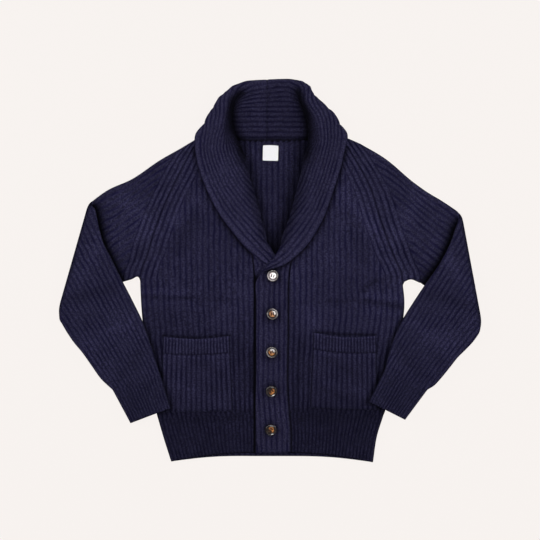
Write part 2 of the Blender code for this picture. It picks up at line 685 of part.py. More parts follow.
def pocket(name, material, side, corners, rise, outer_x):
    """A patch on the front with a rib border along its opening, which gapes a little."""
    top, low = corners
    rows = [("border", 0.0), ("border", 0.5), ("border", 1.0)]
    rows += [("patch", 1.05), ("patch", 2.0), ("patch", 3.0)]
    outer, inner = [], []
    depth = top.inner[1] - low.inner[1]
    for kind, step in rows:
        down = step * POCKET_BORDER / depth if step <= 1.05 else (step / 3.0)
        near = np.array(top.inner) * (1 - down) + np.array(low.inner) * down
        far = np.array(top.outer) * (1 - down) + np.array(low.outer) * down
        width = abs(far[0] - near[0])
        pitch = BORDER_PITCH if kind == "border" else BODY_PITCH * 0.93
        count = 2 * round(width / pitch)
        height = FINE_RIB if kind == "border" else RIB
        gape = POCKET_GAPE * max(0.0, 1 - down * 2.5)

        def place(t, over):
            x, y = near + (far - near) * t
            y -= POCKET_SAG * math.sin(math.pi * t) * max(0.0, 1 - down * 1.6)
            floor = base_z(x, y, outer_x, side, rise) + WALL + POCKET_RISE
            return x, y, floor + gape * math.sin(math.pi * t) + over

        outer.append([
            (
                {"along": k / count, "column": k / count},
                place(k / count, (WALL - 0.9 if k in (0, count) else WALL) + height * rib_wave(k, 2)),
            )
            for k in range(count + 1)
        ])
        inner.append([
            ({"along": t, "column": t}, place(t, 0.0)) for t in (0.0, 0.16, 0.33, 0.5, 0.67, 0.84, 1.0)
        ])
    return sheet(name, material, outer, inner, ["along"] * (len(rows) - 1))


def button(name, material, x, y, z, spin):
    """A horn button: a turned rim round a dish, with four sewing holes."""
    r = BUTTON_RADIUS
    profile = (
        (0.0, 2.3), (0.46 * r, 2.3), (0.62 * r, 3.0), (0.8 * r, BUTTON_HEIGHT), (0.93 * r, 4.2),
        (r, 2.6), (0.9 * r, 0.6), (0.6 * r, 0.0), (0.0, 0.0),
    )
    mesh = bmesh.new()
    points = [mesh.verts.new((px * MM, 0, pz * MM)) for px, pz in profile]
    for first, second in zip(points, points[1:]):
        mesh.edges.new((first, second))
    data = bpy.data.meshes.new(name)
    mesh.to_mesh(data)
    mesh.free()
    piece = bpy.data.objects.new(name, data)
    bpy.data.collections[COLLECTION].objects.link(piece)
    data.materials.append(material)
    piece.location = (x * MM, y * MM, z * MM)
    piece.rotation_euler = (0, 0, spin)
    turn = piece.modifiers.new("turned", "SCREW")
    turn.angle = 2 * math.pi
    turn.steps = turn.render_steps = 20
    turn.use_merge_vertices = True
    turn.merge_threshold = 0.00001
    cut = piece.modifiers.new("sewing holes", "BOOLEAN")
    cut.operation = "DIFFERENCE"
    cut.object = hole_cutter(name, piece)
    return piece


def hole_cutter(name, piece):
    mesh = bmesh.new()
    for k in range(4):
        angle = math.pi / 4 + k * math.pi / 2
        made = bmesh.ops.create_cone(
            mesh, cap_ends=True, segments=8, radius1=1.1 * MM, radius2=1.1 * MM, depth=12 * MM
        )
        away = (2.9 * math.cos(angle) * MM, 2.9 * math.sin(angle) * MM, 0)
        bmesh.ops.translate(mesh, verts=made["verts"], vec=away)
    data = bpy.data.meshes.new(name + "_holes")
    mesh.to_mesh(data)
    mesh.free()
    cutter = bpy.data.objects.new(name + "_holes", data)
    bpy.data.collections["cutters"].objects.link(cutter)
    cutter.location = piece.location
    cutter.rotation_euler = piece.rotation_euler
    cutter.hide_render = True
    cutter.display_type = "WIRE"
    return cutter


def label(material):
    mesh = bmesh.new()
    bmesh.ops.create_cube(mesh, size=1.0)
    size = (LABEL_SIZE * MM, LABEL_SIZE * MM, LABEL_WALL * MM)
    bmesh.ops.scale(mesh, verts=mesh.verts, vec=size)
    z = WALL + RIB + GAP + LABEL_WALL / 2
    place = (LABEL_CENTRE[0] * MM, LABEL_CENTRE[1] * MM, z * MM)
    bmesh.ops.translate(mesh, verts=mesh.verts, vec=place)
    return finish(mesh, "neck_label", material)


def cloth(name, colour, roughness):
    material = bpy.data.materials.new(name)
    material.use_nodes = True
    shader = material.node_tree.nodes["Principled BSDF"]
    shader.inputs["Base Color"].default_value = (*colour, 1.0)
    shader.inputs["Roughness"].default_value = roughness
    shader.inputs["Metallic"].default_value = 0.0
    return material


COLLECTION = "shawl collar cardigan"


def build():
    for thing in list(bpy.data.objects):
        bpy.data.objects.remove(thing)
    for name in (COLLECTION, "cutters"):
        bpy.context.scene.collection.children.link(bpy.data.collections.new(name))
    body = cloth("body knit", (0.0160, 0.0152, 0.0369), 0.95)
    fine = cloth("collar knit", (0.0176, 0.0160, 0.0369), 0.95)
    sleeve_knit = cloth("sleeve knit", (0.0152, 0.0152, 0.0356), 0.95)
    pocket_knit = cloth("pocket knit", (0.0160, 0.0152, 0.0369), 0.95)
    horn = cloth("horn", (0.12, 0.07, 0.04), 0.3)
    woven = cloth("label cloth", (0.87, 0.87, 0.88), 0.7)

    right_rows = front_rows(-1, RIGHT_HEM, RIGHT_SIDE, RIGHT_STRIP[RIGHT_NECK], RIGHT_RAGLAN)
    left_rows = front_rows(1, LEFT_HEM, LEFT_SIDE, LEFT_STRIP[LEFT_NECK], LEFT_RAGLAN)
    neck = [section.seam[:2] for section in RIGHT_STRIP[RIGHT_NECK.stop - 1 :]]
    neck += [section.seam[:2] for section in LEFT_STRIP[LEFT_NECK.stop - 1 : -1]][::-1]
    lowered = [(x, y - (SEAM_ROLL if abs(x - BACK_MIDDLE) > 60 else 2 * GAP)) for x, y in neck]
    edge = [RIGHT_RAGLAN[-1], *lowered, LEFT_RAGLAN[-1]]
    back(body, right_rows, left_rows, edge)
    front("front_right", body, -1, right_rows, 0.0)
    front("front_left", body, 1, left_rows, OVER_BAND_RISE)
    collar_half("collar_right", fine, RIGHT_STRIP, 1, RIGHT_BREAK + 1, 0, RIGHT_TURN)
    collar_half("collar_left", fine, LEFT_STRIP, -1, LEFT_BREAK, 1, LEFT_TURN)
    right_seam = [row[2] for row in right_rows if row[0] == "raglan"]
    left_seam = [row[2] for row in left_rows if row[0] == "raglan"]
    sleeve("sleeve_right", sleeve_knit, -1, right_seam, RIGHT_UPPER, RIGHT_ELBOW, RIGHT_FOREARM, RIGHT_CUFF)
    sleeve("sleeve_left", sleeve_knit, 1, left_seam, LEFT_UPPER, LEFT_ELBOW, LEFT_FOREARM, LEFT_CUFF)
    pocket("pocket_right", pocket_knit, -1, RIGHT_POCKET, 0.0, -262.0)
    pocket("pocket_left", pocket_knit, 1, LEFT_POCKET, OVER_BAND_RISE, 268.0)
    for k in range(BUTTON_COUNT):
        z = OVER_Z + COLLAR_WALL / 2 + RIB + GAP
        x = 4.6 - 1.0 * k
        button(f"button_{k + 1}", horn, x, TOP_BUTTON_Y - k * BUTTON_PITCH, z, 0.3 * k)
    label(woven)


build()
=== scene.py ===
# %% [markdown]
# # A chunky shawl collar cardigan, laid flat
# This lesson dresses a plain solid model of a man's rib-knit cardigan, which lies buttoned on a
# table with its sleeves folded over. The solids have the right sizes and places, so each new piece
# of cloth is laid exactly where its solid is, with rounder ribs, softer folds and a knitted
# finish.

# %% The solid model and its size
import math

import bpy
import numpy as np
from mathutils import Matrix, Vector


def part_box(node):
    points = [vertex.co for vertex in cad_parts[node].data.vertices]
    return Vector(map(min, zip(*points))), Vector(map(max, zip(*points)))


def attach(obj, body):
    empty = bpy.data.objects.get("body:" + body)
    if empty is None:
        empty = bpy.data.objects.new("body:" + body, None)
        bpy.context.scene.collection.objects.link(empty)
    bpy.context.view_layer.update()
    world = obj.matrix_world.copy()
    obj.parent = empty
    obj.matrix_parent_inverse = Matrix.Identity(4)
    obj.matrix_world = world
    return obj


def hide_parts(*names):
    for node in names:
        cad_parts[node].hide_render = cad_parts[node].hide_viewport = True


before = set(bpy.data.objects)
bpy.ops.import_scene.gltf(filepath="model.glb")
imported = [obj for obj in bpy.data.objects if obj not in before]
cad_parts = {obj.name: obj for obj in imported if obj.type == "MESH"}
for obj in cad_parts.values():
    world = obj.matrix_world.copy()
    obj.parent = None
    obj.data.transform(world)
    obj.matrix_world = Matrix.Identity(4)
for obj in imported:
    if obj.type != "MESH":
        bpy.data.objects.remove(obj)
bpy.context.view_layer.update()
bpy.ops.object.select_all(action="DESELECT")
print("solids:", sorted(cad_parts))

# %% [markdown]
# ## Sizes of the knit
# Everything below is in millimetres until a mesh is made. A rib knit has a pitch: the width of one
# rib and its groove. The collar and band are a slightly finer knit than the body, and the hem,
# cuffs and pocket borders are much finer, which is what pulls them in.

# %% Named sizes
MM = 0.001
ROW = 3.3  # spacing of the rows of points along the cloth
COURSE = 3.1  # height of one stitch
PER_RIB = 6  # columns of points over one rib
HEM_PER_RIB = 5  # the same columns, over the hem's finer ribs
WALL = 3.0
COLLAR_WALL = 3.5
BODY_PITCH = 11.5
COLLAR_PITCH = 10.4
BORDER_PITCH = 6.5
CUFF_PITCH = 7.0
RIB = 1.35  # height of a rib over its groove
FINE_RIB = 0.95
RAGLAN_RIBS = 3
FRONT_Z = WALL + 0.6  # underside of the fronts, which lie on the back
OVER_BAND_RISE = 3.75
UNDER_Z = 5.25
OVER_Z = UNDER_Z + OVER_BAND_RISE
print(f"a 540 mm chest takes {540 / BODY_PITCH:.0f} ribs across the front")

# %% [markdown]
# ## Smooth curves and ribs
# A pattern cutter marks a few points and joins them with a curve ruler. `smooth` does the same: it
# runs a curve through the rows of a short table. `rib` is the section of the knit: a broad round
# rib, and a narrow groove wherever the count of ribs is a whole number.


# %% Curve ruler
def smooth(knots, values, where):
    """A curve through the rows of values, which lie at the knots, read at other places."""
    where = np.asarray(where, dtype=float)
    slopes = np.gradient(values, knots, axis=0)
    i = np.clip(np.searchsorted(knots, where) - 1, 0, len(knots) - 2)
    shape = where.shape + (1,) * (values.ndim - 1)
    span = (knots[i + 1] - knots[i]).reshape(shape)
    t = (where - knots[i]).reshape(shape) / span
    return (
        (2 * t**3 - 3 * t**2 + 1) * values[i]
        + (t**3 - 2 * t**2 + t) * span * slopes[i]
        + (3 * t**2 - 2 * t**3) * values[i + 1]
        + (t**3 - t**2) * span * slopes[i + 1]
    )


def distances(points):
    """How far along each row of a table lies, by the mean step of its places."""
    steps = np.linalg.norm(np.diff(points, axis=0), axis=-1).reshape(len(points) - 1, -1).mean(axis=1)
    return np.concatenate(([0.0], np.cumsum(steps)))


def stretch_of_rows(points, step=ROW):
    """Even rows through a table of rows. points is rows x places x axes. Also their distances."""
    points = np.asarray(points, dtype=float)
    knots = distances(points)
    where = np.linspace(0, knots[-1], max(2, round(knots[-1] / step) + 1))
    return smooth(knots, points, where), where


print("halfway:", smooth(np.array((0.0, 1.0, 2.0)), np.array((0.0, 1.0, 4.0)), 0.5))


# %% Rib section and soft steps
def rib(count):
    return (0.5 - 0.5 * np.cos(2 * np.pi * count)) ** 0.75


def ease(low, high, x):
    """0 below low, 1 above high, and a soft step between. low may be above high."""
    t = np.clip((x - low) / (high - low), 0, 1)
    return t * t * (3 - 2 * t)


def bell(distance, width):
    """1 at no distance, falling softly to 0 at about twice the width."""
    return np.exp(-((distance / width) ** 2))


print("rib section:", np.round(rib(np.linspace(0, 0.5, 4)), 2))

# %% [markdown]
# ## Laying cloth
# A knitted panel is one sheet with two faces. It could be a flat plane under a displacement, but
# the ribs have to run where the knitter put them, so the points of a grid are laid on the outer
# face, a Solidify modifier gives the sheet its wall, and the inner face's points are then laid too.
# A sleeve is the same grid with its two long edges merged into a tube. The UV map counts ribs
# across and stitches along, so the knitted finish always follows the cloth.


# %% Work on one piece
def deselect():
    bpy.ops.object.select_all(action="DESELECT")


def pick(*pieces):
    """Select these pieces alone. The last one is the active one."""
    deselect()
    for piece in pieces:
        piece.select_set(True)
        bpy.context.view_layer.objects.active = piece


def in_edit_mode(piece, action):
    pick(piece)
    bpy.ops.object.mode_set(mode="EDIT")
    bpy.ops.mesh.select_all(action="SELECT")
    action()
    bpy.ops.object.mode_set(mode="OBJECT")


def add_wall(piece, thickness, offset):
    wall = piece.modifiers.new("wall", "SOLIDIFY")
    wall.thickness = thickness * MM
    wall.offset = offset
    bpy.ops.object.modifier_apply(modifier=wall.name)


def read(items, key, size=1, kind=float):
    values = np.empty(len(items) * size, dtype=kind)
    items.foreach_get(key, values)
    return values


def volume_of(mesh):
    """Volume inside a mesh, negative when it is inside out, and the area of its faces."""
    mesh.calc_loop_triangles()
    corners = read(mesh.loop_triangles, "vertices", 3, np.int32)
    a, b, c = read(mesh.vertices, "co", 3).reshape(-1, 3)[corners.reshape(-1, 3)].transpose(1, 0, 2)
    area = np.linalg.norm(np.cross(b - a, c - a), axis=1).sum() / 2
    return float((a * np.cross(b, c)).sum() / 6), float(area)


print("wall of the body", WALL, "mm, of the collar", COLLAR_WALL, "mm")


# %% The cloth maker
def lay_cloth(name, outer, inner, zones, shade, tube=False):
    """outer and inner are rows x columns x 3. A zone is (first row, first column, counts)."""
    rows, cols = outer.shape[:2]
    deselect()
    bpy.ops.mesh.primitive_grid_add(x_subdivisions=cols - 1, y_subdivisions=rows - 1, size=1)
    piece = bpy.context.object
    piece.name = piece.data.name = name
    mesh = piece.data
    mesh.vertices.foreach_set("co", (outer * MM).reshape(-1))
    mesh.attributes.new("spot", "INT", "POINT").data.foreach_set("value", np.arange(rows * cols))
    corner = read(mesh.loops, "vertex_index", kind=np.int32)
    face_row, face_col = np.divmod(np.repeat(np.arange(len(mesh.polygons)), 4), cols - 1)
    counts = np.zeros((len(corner), 2))
    for first_row, first_col, field in zones:
        here = (face_row >= first_row) & (face_col >= first_col)
        counts[here] = field.reshape(-1, 2)[corner[here]]
    mesh.uv_layers.active.data.foreach_set("uv", counts.reshape(-1))
    if tube:
        in_edit_mode(piece, lambda: bpy.ops.mesh.remove_doubles(threshold=1e-6))
    add_wall(piece, WALL, -1)
    half = len(mesh.vertices) // 2
    spot = read(mesh.attributes["spot"].data, "value", kind=np.int32)
    both = np.concatenate((outer.reshape(-1, 3)[spot[:half]], inner.reshape(-1, 3)[spot[half:]]))
    mesh.vertices.foreach_set("co", (both * MM).reshape(-1))
    mesh.attributes.remove(mesh.attributes["spot"])
    shade = np.broadcast_to(shade, (rows, cols)).reshape(-1)[spot]
    mesh.attributes.new("shade", "FLOAT", "POINT").data.foreach_set("value", shade)
    volume, area = volume_of(mesh)
    if volume < 0:
        in_edit_mode(piece, bpy.ops.mesh.flip_normals)
    pick(piece)
    bpy.ops.object.shade_smooth()
    print(f"{name}: {len(mesh.polygons)} faces, {area / 2:.3f} m2 of cloth, {abs(volume) * 1e6:.0f} cm3")
    return piece


def field(across, along):
    """Counts of ribs and stitches for the UV map, from arrays in ribs and in millimetres."""
    return np.stack(np.broadcast_arrays(across, along / COURSE), axis=-1)


# %% Shade beside an edge
def near_line(x, y, line, reach):
    """1 on a line through the given points, falling softly to 0 away from it."""
    nearest = np.full(np.broadcast(x, y).shape, 1e6)
    for (x0, y0), (x1, y1) in zip(line, line[1:]):
        dx, dy = x1 - x0, y1 - y0
        part = np.clip(((x - x0) * dx + (y - y0) * dy) / (dx * dx + dy * dy + 1e-9), 0, 1)
        nearest = np.minimum(nearest, np.hypot(x - x0 - dx * part, y - y0 - dy * part))
    return bell(nearest, reach)


def darken(shade, x, y, *lines):
    """Darken the wool beside lines. Each is (points, how far the shade reaches, how dark it is)."""
    for line, reach, depth in lines:
        shade = shade * (1 - depth * near_line(x, y, line, reach))
    return shade


print("shade 3 mm from an edge:", darken(1.0, np.array(0.0), np.array(3.0), (((-9, 0), (9, 0)), 6, 0.6)))

# %% [markdown]
# ## The paper pattern
# Before any cloth is laid, its outlines are marked. They could be drawn as curves by hand, but
# short tables of numbers are easier to check and to change. The fronts' tables go from the hem up,
# each row the end at the band and the end at the side. A row of a strip's table is one section
# across the collar and band: its seam to the body, the height of its stand, the roll where it
# turns over, the outermost line of the part that falls, and its free edge. A row of a sleeve is a
# ring: a chord from the upper to the under edge, and how much it keeps of the seam's curve or how
# far its ends are lifted.

# %% Tables of the fronts
RIGHT_HEM = (((-32, -374.5), (-204, -393.2)), ((-32, -340), (-219, -346)), ((-32, -296), (-231, -305)))
RIGHT_SIDE = (
    ((-32, -290), (-233, -298)),
    ((-32, -220), (-247, -224)),
    ((-32, -140), (-259, -142)),
    ((-32, -62), (-266, -62)),
    ((-33, -12), (-268, -14)),
)
LEFT_HEM = (((41.5, -374.5), (210.5, -394.8)), ((41.8, -338), (218, -344)), ((38.5, -292), (232, -298)))
LEFT_SIDE = (
    ((36.5, -286), (235, -291)),
    ((34.8, -220), (252, -222)),
    ((36.0, -140), (266, -142)),
    ((36.6, -62), (275, -62)),
    ((37, -26), (271.5, -28)),
)
RIGHT_NECK = (
    (-33, -12), (-35, 10), (-37, 28), (-41, 63), (-48, 93), (-56, 124), (-73, 181), (-96, 244), (-110, 270),
)
RIGHT_RAGLAN = (
    (-268, -14), (-262, 10), (-253, 30), (-243, 66), (-233, 95), (-222, 124), (-195, 182), (-160, 248),
    (-134, 281),
)
LEFT_NECK = (
    (37, -26), (39, -7), (40, 5), (43, 22), (50, 56), (68, 110), (85, 172), (104, 240), (117, 268),
)
LEFT_RAGLAN = (
    (271.5, -28), (269.5, -8), (264, 6), (256, 22), (243, 56), (223, 112), (204, 172), (167, 238),
    (138, 280),
)
print("rows up the side:", len(RIGHT_SIDE), "and up the raglan seam:", len(RIGHT_RAGLAN))

# %% Tables of the pockets
RIGHT_POCKET = (((-84, -135), (-220, -136)), ((-77, -290), (-227, -293)))
LEFT_POCKET = (((88, -128), (216, -135)), ((81, -284), (221, -288)))
POCKET_BORDER = 34.0
POCKET_RISE = 1.6
POCKET_SAG = 6.0
POCKET_GAPE = 2.4
print("pocket border", POCKET_BORDER, "mm deep")


# %% Table of the right strip
def flat(seam_x, edge_x, y, z, edge_y=None):
    """A section where the strip lies flat, as a front band does."""
    seam = np.array((seam_x, y, z))
    edge = np.array((edge_x, y if edge_y is None else edge_y, z))
    roll, fall = (seam + (edge - seam) * part for part in (0.6, 0.86))
    return tuple(seam), z, tuple(roll), tuple(fall), tuple(edge)


RIGHT_STRIP = (
    flat(-32, 36, -376, UNDER_Z),
    flat(-32, 36, -62, UNDER_Z),
    flat(-33, 34, -12, UNDER_Z, -4),
    ((-35, 8, 5.2), 5.4, (23, 10, 6.4), (18, 6, 8.0), (4, 0, 8.2)),
    ((-36, 18, 5.2), 5.8, (14, 25, 7.4), (5, 21, 9.8), (-10, 12, 9.6)),
    ((-37, 28, 5.2), 6.3, (5, 37, 8.4), (-6, 32, 11.6), (-21, 20, 11.2)),
    ((-41, 63, 5.1), 6.6, (-13, 80, 10.0), (-33, 68, 14.6), (-56, 51, 11.0)),
    ((-48, 93, 5.1), 6.7, (-21, 110, 10.5), (-48, 95, 15.4), (-77, 77, 10.9)),
    ((-56, 124, 5.1), 6.8, (-29, 140, 11.0), (-62, 124, 16.0), (-98, 104, 10.8)),
    ((-73, 181, 5.1), 7.0, (-44, 193, 12.0), (-84, 178, 16.8), (-128, 158, 10.8)),
    ((-96, 244, 5.4), 8.0, (-61, 252, 14.0), (-106, 250, 18.0), (-154, 243, 11.4)),
    ((-110, 270, 8.6), 14.5, (-77, 291, 21.0), (-112, 289, 20.0), (-150, 287, 11.4)),
    ((-106, 273, 8.6), 16.0, (-80, 318, 26.0), (-128, 319, 13.0), (-121, 302, 5.0)),
    ((-92, 271, 4.6), 12.0, (-78, 346, 23.5), (-108, 352, 8.5), (-95, 309, 2.2)),
    ((-68, 267, 1.9), 9.0, (-63, 364, 18.5), (-77, 377, 7.6), (-66, 307, 1.8)),
    ((-38, 265, 1.8), 8.6, (-38, 375, 15.0), (-43, 387, 7.2), (-37, 305, 1.8)),
    ((-7.2, 265, 1.8), 8.6, (-7.2, 379, 14.0), (-7.2, 390, 7.0), (-7.2, 304, 1.8)),
)
print("the right strip has", len(RIGHT_STRIP), "sections")

# %% Table of the left strip
LEFT_STRIP = (
    flat(41.5, -20, -373, OVER_Z),
    flat(41.6, -26, -366, OVER_Z),
    flat(41.8, -28, -354, OVER_Z),
    flat(41.8, -29.5, -330, OVER_Z),
    flat(38.5, -30.5, -292, OVER_Z),
    flat(34.8, -29.5, -236, OVER_Z),
    flat(34.8, -28.5, -200, OVER_Z),
    flat(36.0, -29, -140, OVER_Z),
    flat(36.6, -28, -62, OVER_Z),
    flat(37, -28, -26, OVER_Z, -18),
    ((39, -7, 9.2), 10.4, (-21, -3, 10.8), (-19, -1, 13.6), (-11, -1, 14.4)),
    ((40, 5, 10.2), 13.2, (-7, 11, 14.2), (3, 8, 17.6), (15, 4, 17.4)),
    ((43, 22, 9.4), 14.4, (9, 27, 16.2), (24, 22, 19.6), (38, 17, 17.0)),
    ((50, 56, 6.6), 9.0, (26, 70, 12.4), (48, 61, 17.0), (73, 49, 12.6)),
    ((68, 110, 5.4), 7.4, (43, 117, 11.6), (72, 107, 16.4), (104, 97, 11.0)),
    ((85, 172, 5.1), 7.0, (58, 176, 12.0), (92, 171, 16.8), (129, 162, 10.8)),
    ((104, 240, 5.4), 8.0, (73, 242, 14.0), (110, 241, 18.0), (150, 236, 11.4)),
    ((117, 268, 8.6), 14.5, (78, 282, 21.0), (118, 286, 20.0), (156, 286, 11.4)),
    ((112, 272, 8.6), 16.0, (74, 314, 26.0), (133, 319, 13.0), (124, 302, 5.0)),
    ((98, 270, 4.6), 12.0, (66, 342, 23.5), (101, 348, 8.5), (95, 309, 2.2)),
    ((72, 267, 1.9), 9.0, (59, 365, 18.5), (80, 378, 7.6), (68, 307, 1.8)),
    ((36, 265, 1.8), 8.6, (37, 377, 15.0), (49, 389.5, 7.2), (38, 305, 1.8)),
    ((-6.8, 265, 1.8), 8.6, (-6.8, 379, 14.0), (-6.8, 390, 7.0), (-6.8, 304, 1.8)),
)
print("the left strip has", len(LEFT_STRIP), "sections")

# %% How the strips' ribs draw together
# how much finer the ribs lie at a height of the roll, as the lapel curves
RIGHT_FINENESS = ((40, 1.0), (106, 1.05), (164, 1.3), (250, 1.62), (300, 1.3), (345, 1.0))
LEFT_FINENESS = (
    (50, 0.98), (85, 1.02), (113, 1.1), (164, 1.5), (215, 1.45), (266, 1.6), (310, 1.3), (345, 1.0),
)
SELVEDGE = 5.0  # the collar's outermost rib is this much wider than the others
finest = COLLAR_PITCH / max(finer for _, finer in RIGHT_FINENESS)
print(f"the lapels' finest ribs are {finest:.1f} mm wide")

# %% Tables of the right sleeve
RIGHT_UPPER = (
    ((-184, 250), (-305, -25), 1.0),
    ((-223, 228), (-322, -33), 0.7),
    ((-284, 187), (-362, -55), 0.4),
    ((-336, 163), (-402, -76), 0.1),
)
RIGHT_ELBOW = ((-375, 137), (-435.5, -76), (-9, 2), (-4, 22))
RIGHT_FOREARM = (
    ((-360.5, 127), (-431.5, -103.5), 0, 0),
    ((-355.5, 108), (-428, -109), 0, 0),
    ((-350, 84), (-420.5, -122), 0, 0),
    ((-343, 58), (-413, -134), 0, 0),
    ((-328, 28), (-404, -147), 0, 0),
    ((-303.5, -22), (-385, -170), 0, 0),
    ((-282, -64), (-366, -197), 0, 0),
    ((-260, -110), (-349, -221), 0, 0),
    ((-240, -168), (-334, -236), 2.2, 0),
    ((-228, -207), (-324, -245), 5.4, 0.3),
)
RIGHT_CUFF = (((-225, -213), (-321, -250), 5.6, 0.3), ((-204, -282), (-287, -314), 6.0, -1.5))
print("the right sleeve has", len(RIGHT_UPPER), "rings above the elbow and", len(RIGHT_FOREARM), "below")

# %% Tables of the left sleeve
LEFT_UPPER = (
    ((184, 259.5), (309, -28), 1.0),
    ((228, 234), (323, -36), 0.7),
    ((294, 180), (362, -60), 0.4),
    ((322, 160), (384, -72), 0.25),
    ((352, 142), (402, -82), 0.1),
)
LEFT_ELBOW = ((394, 114), (434.5, -104), (-8.5, 6), (-4, 20))
LEFT_FOREARM = (
    ((379, 87), (424.5, -134), 0, 0),
    ((370, 60), (415, -147), 0, 0),
    ((348, 16), (400, -163), 0, 0),
    ((317, -29), (383, -180), 0, 0),
    ((292.5, -66), (368, -199), 0, 0),
    ((268, -106), (351, -220), 0, 0),
    ((246, -158), (335, -237), 2.2, 0),
    ((234, -203), (322, -245), 5.4, 0.3),
)
LEFT_CUFF = (((231, -209), (318, -250), 5.6, 0.3), ((201, -269), (276, -307), 6.0, -1.5))
print("the left sleeve has", len(LEFT_UPPER), "rings above the elbow and", len(LEFT_FOREARM), "below")

# %% Sizes of both sleeves
# where the forearm's ribs would meet, as the sleeve narrows, and the angle from rib to rib
RIGHT_FAN = ((56, -800), 0.0116)
LEFT_FAN = ((-161, -856), 0.0106)
FOREARM_RISE = 8.2
HOLLOW = 0.3
SLEEVE_RIBS = 13
SLEEVE_COLUMNS = 96
print("forearm lies", FOREARM_RISE, "mm over the upper sleeve")

# %% [markdown]
# ## Folds and creases
# Cloth that has been folded for a shelf keeps soft ridges and troughs. They could be sculpted with
# brushes, but a table can be read and mended: each row says where a fold starts and ends, how wide
# it is, and how high (a trough is negative). They are uneven on purpose, and no deeper than the
# wall, so the pieces still lie on each other.

# %% Creases of the fronts
# each is from x, y, to x, y, width, height
FRONT_CREASES = (
    (-262, -45, -180, -48, 9, 1.5),
    (-268, -55, -168, -58, 5, -1.7),
    (-262, -67, -170, -70, 12, 0.9),
    (-168, -58, -60, -63, 6, -0.9),
    (-196, 100, -128, 168, 16, 1.4),
    (-180, 60, -150, 150, 20, -1.0),
    (-90, -100, -50, -60, 26, 1.3),
    (-200, -312, -60, -300, 12, -0.4),
    (-152, -186, -104, -212, 9, -0.9),
    (-196, -236, -120, -262, 14, 0.9),
    (-140, -252, -92, -240, 8, -0.6),
    (-62, -150, -50, -250, 9, -0.8),
    (190, -43, 214, -23, 5, -1.4),
    (214, -23, 252, -15, 6, -1.0),
    (200, -54, 266, -58, 9, 1.6),
    (196, -63, 268, -76, 5, -1.7),
    (210, -84, 264, -92, 10, 1.1),
    (60, -66, 196, -63, 6, -0.8),
    (205, 92, 140, 160, 16, 1.5),
    (190, 40, 160, 130, 20, -1.0),
    (80, -110, 60, -40, 24, 1.2),
    (60, -310, 205, -306, 12, -0.4),
    (122, -186, 172, -210, 9, -1.0),
    (118, -232, 186, -250, 12, 1.1),
    (150, -262, 104, -240, 8, -0.7),
    (62, -150, 54, -260, 9, -0.8),
    (110, -100, 225, -112, 30, 1.2),
)
print("creases on the fronts:", len(FRONT_CREASES))

# %% Creases of the sleeves
SLEEVE_CREASES = (
    (-300, 150, -240, 60, 18, 1.2),
    (-285, 20, -240, 60, 12, -1.0),
    (-345, 60, -395, -20, 16, 1.3),
    (-410, -60, -330, -40, 12, -1.2),
    (-370, -150, -290, -110, 16, 1.2),
    (-300, -215, -250, -150, 12, -1.0),
    (300, 140, 250, 50, 18, 1.2),
    (290, 20, 246, 60, 12, -1.0),
    (352, 40, 398, -30, 16, 1.3),
    (412, -76, 330, -52, 12, -1.3),
    (372, -158, 296, -112, 16, 1.2),
    (302, -210, 252, -150, 12, -1.0),
)
print("creases on the sleeves:", len(SLEEVE_CREASES))


# %% Folds from the tables, and slow waves
def creases(table, x, y):
    total = np.zeros(np.broadcast(x, y).shape)
    for x0, y0, x1, y1, width, height in table:
        length = math.hypot(x1 - x0, y1 - y0)
        along = ((x - x0) * (x1 - x0) + (y - y0) * (y1 - y0)) / length
        across = ((y - y0) * (x1 - x0) - (x - x0) * (y1 - y0)) / length
        past = np.maximum(0, np.maximum(-along, along - length)) / (width * 1.6)
        total = total + height * np.exp(-((across / width) ** 2) - past**2)
    return total


def wander(x, y, size, seed):
    """Slow uneven waves between about -1 and 1, the way hand-laid cloth is never quite level."""
    return (
        np.sin(x / size + seed + 1.3 * np.sin(y / size * 0.7 + seed))
        + np.sin(y / size * 1.3 + 2 * seed + 1.1 * np.sin(x / size * 0.6))
    ) / 2


everywhere = np.mgrid[-280:280:4, -390:280:4]
print("the highest fold of the fronts:", round(float(creases(FRONT_CREASES, *everywhere).max()), 1), "mm")

# %% [markdown]
# ## The two fronts
# Each front is a rectangle of ribs over a hem, with a raglan edge: above the armpit its three
# outermost ribs turn to follow the slanting seam, and the other ribs end against them one by one.
# One even grid would bend every rib along the seam, so the grid has two parts there, each with its
# own count of ribs. The rows go from the hem up, and each runs from the end at the band to the end
# at the side fold.

# %% How the fronts lie
ROUND = 6.0  # of the cloth's turn at the side fold
HEM_ARCH = 4.0
HEM_GATHER = 6.0  # cloth that is gathered in where the hem begins
BAND_SLOPE = 36.0
BAND_SEAM = 38.0
SIDE_SLOPE = 30.0


def base_z(x, y, outer_x, rise):
    """Underside of a front: on the back, over the folds, and up to the upper band by its seam."""
    z = np.maximum(creases(FRONT_CREASES, x, y), -0.5) + 0.35 * wander(x, y, 31, 1.7)
    if rise:
        z = z + rise * ease(0, 1, 1 - (x - BAND_SEAM) / BAND_SLOPE)
    return FRONT_Z + z * np.minimum(1, np.abs(outer_x - x) / SIDE_SLOPE)


def hem_arch(t, from_edge):
    """The hem's lower edge rises a little between the side and the band."""
    return HEM_ARCH * np.sin(np.pi * t) * np.maximum(0, 1 - from_edge / 70) ** 2


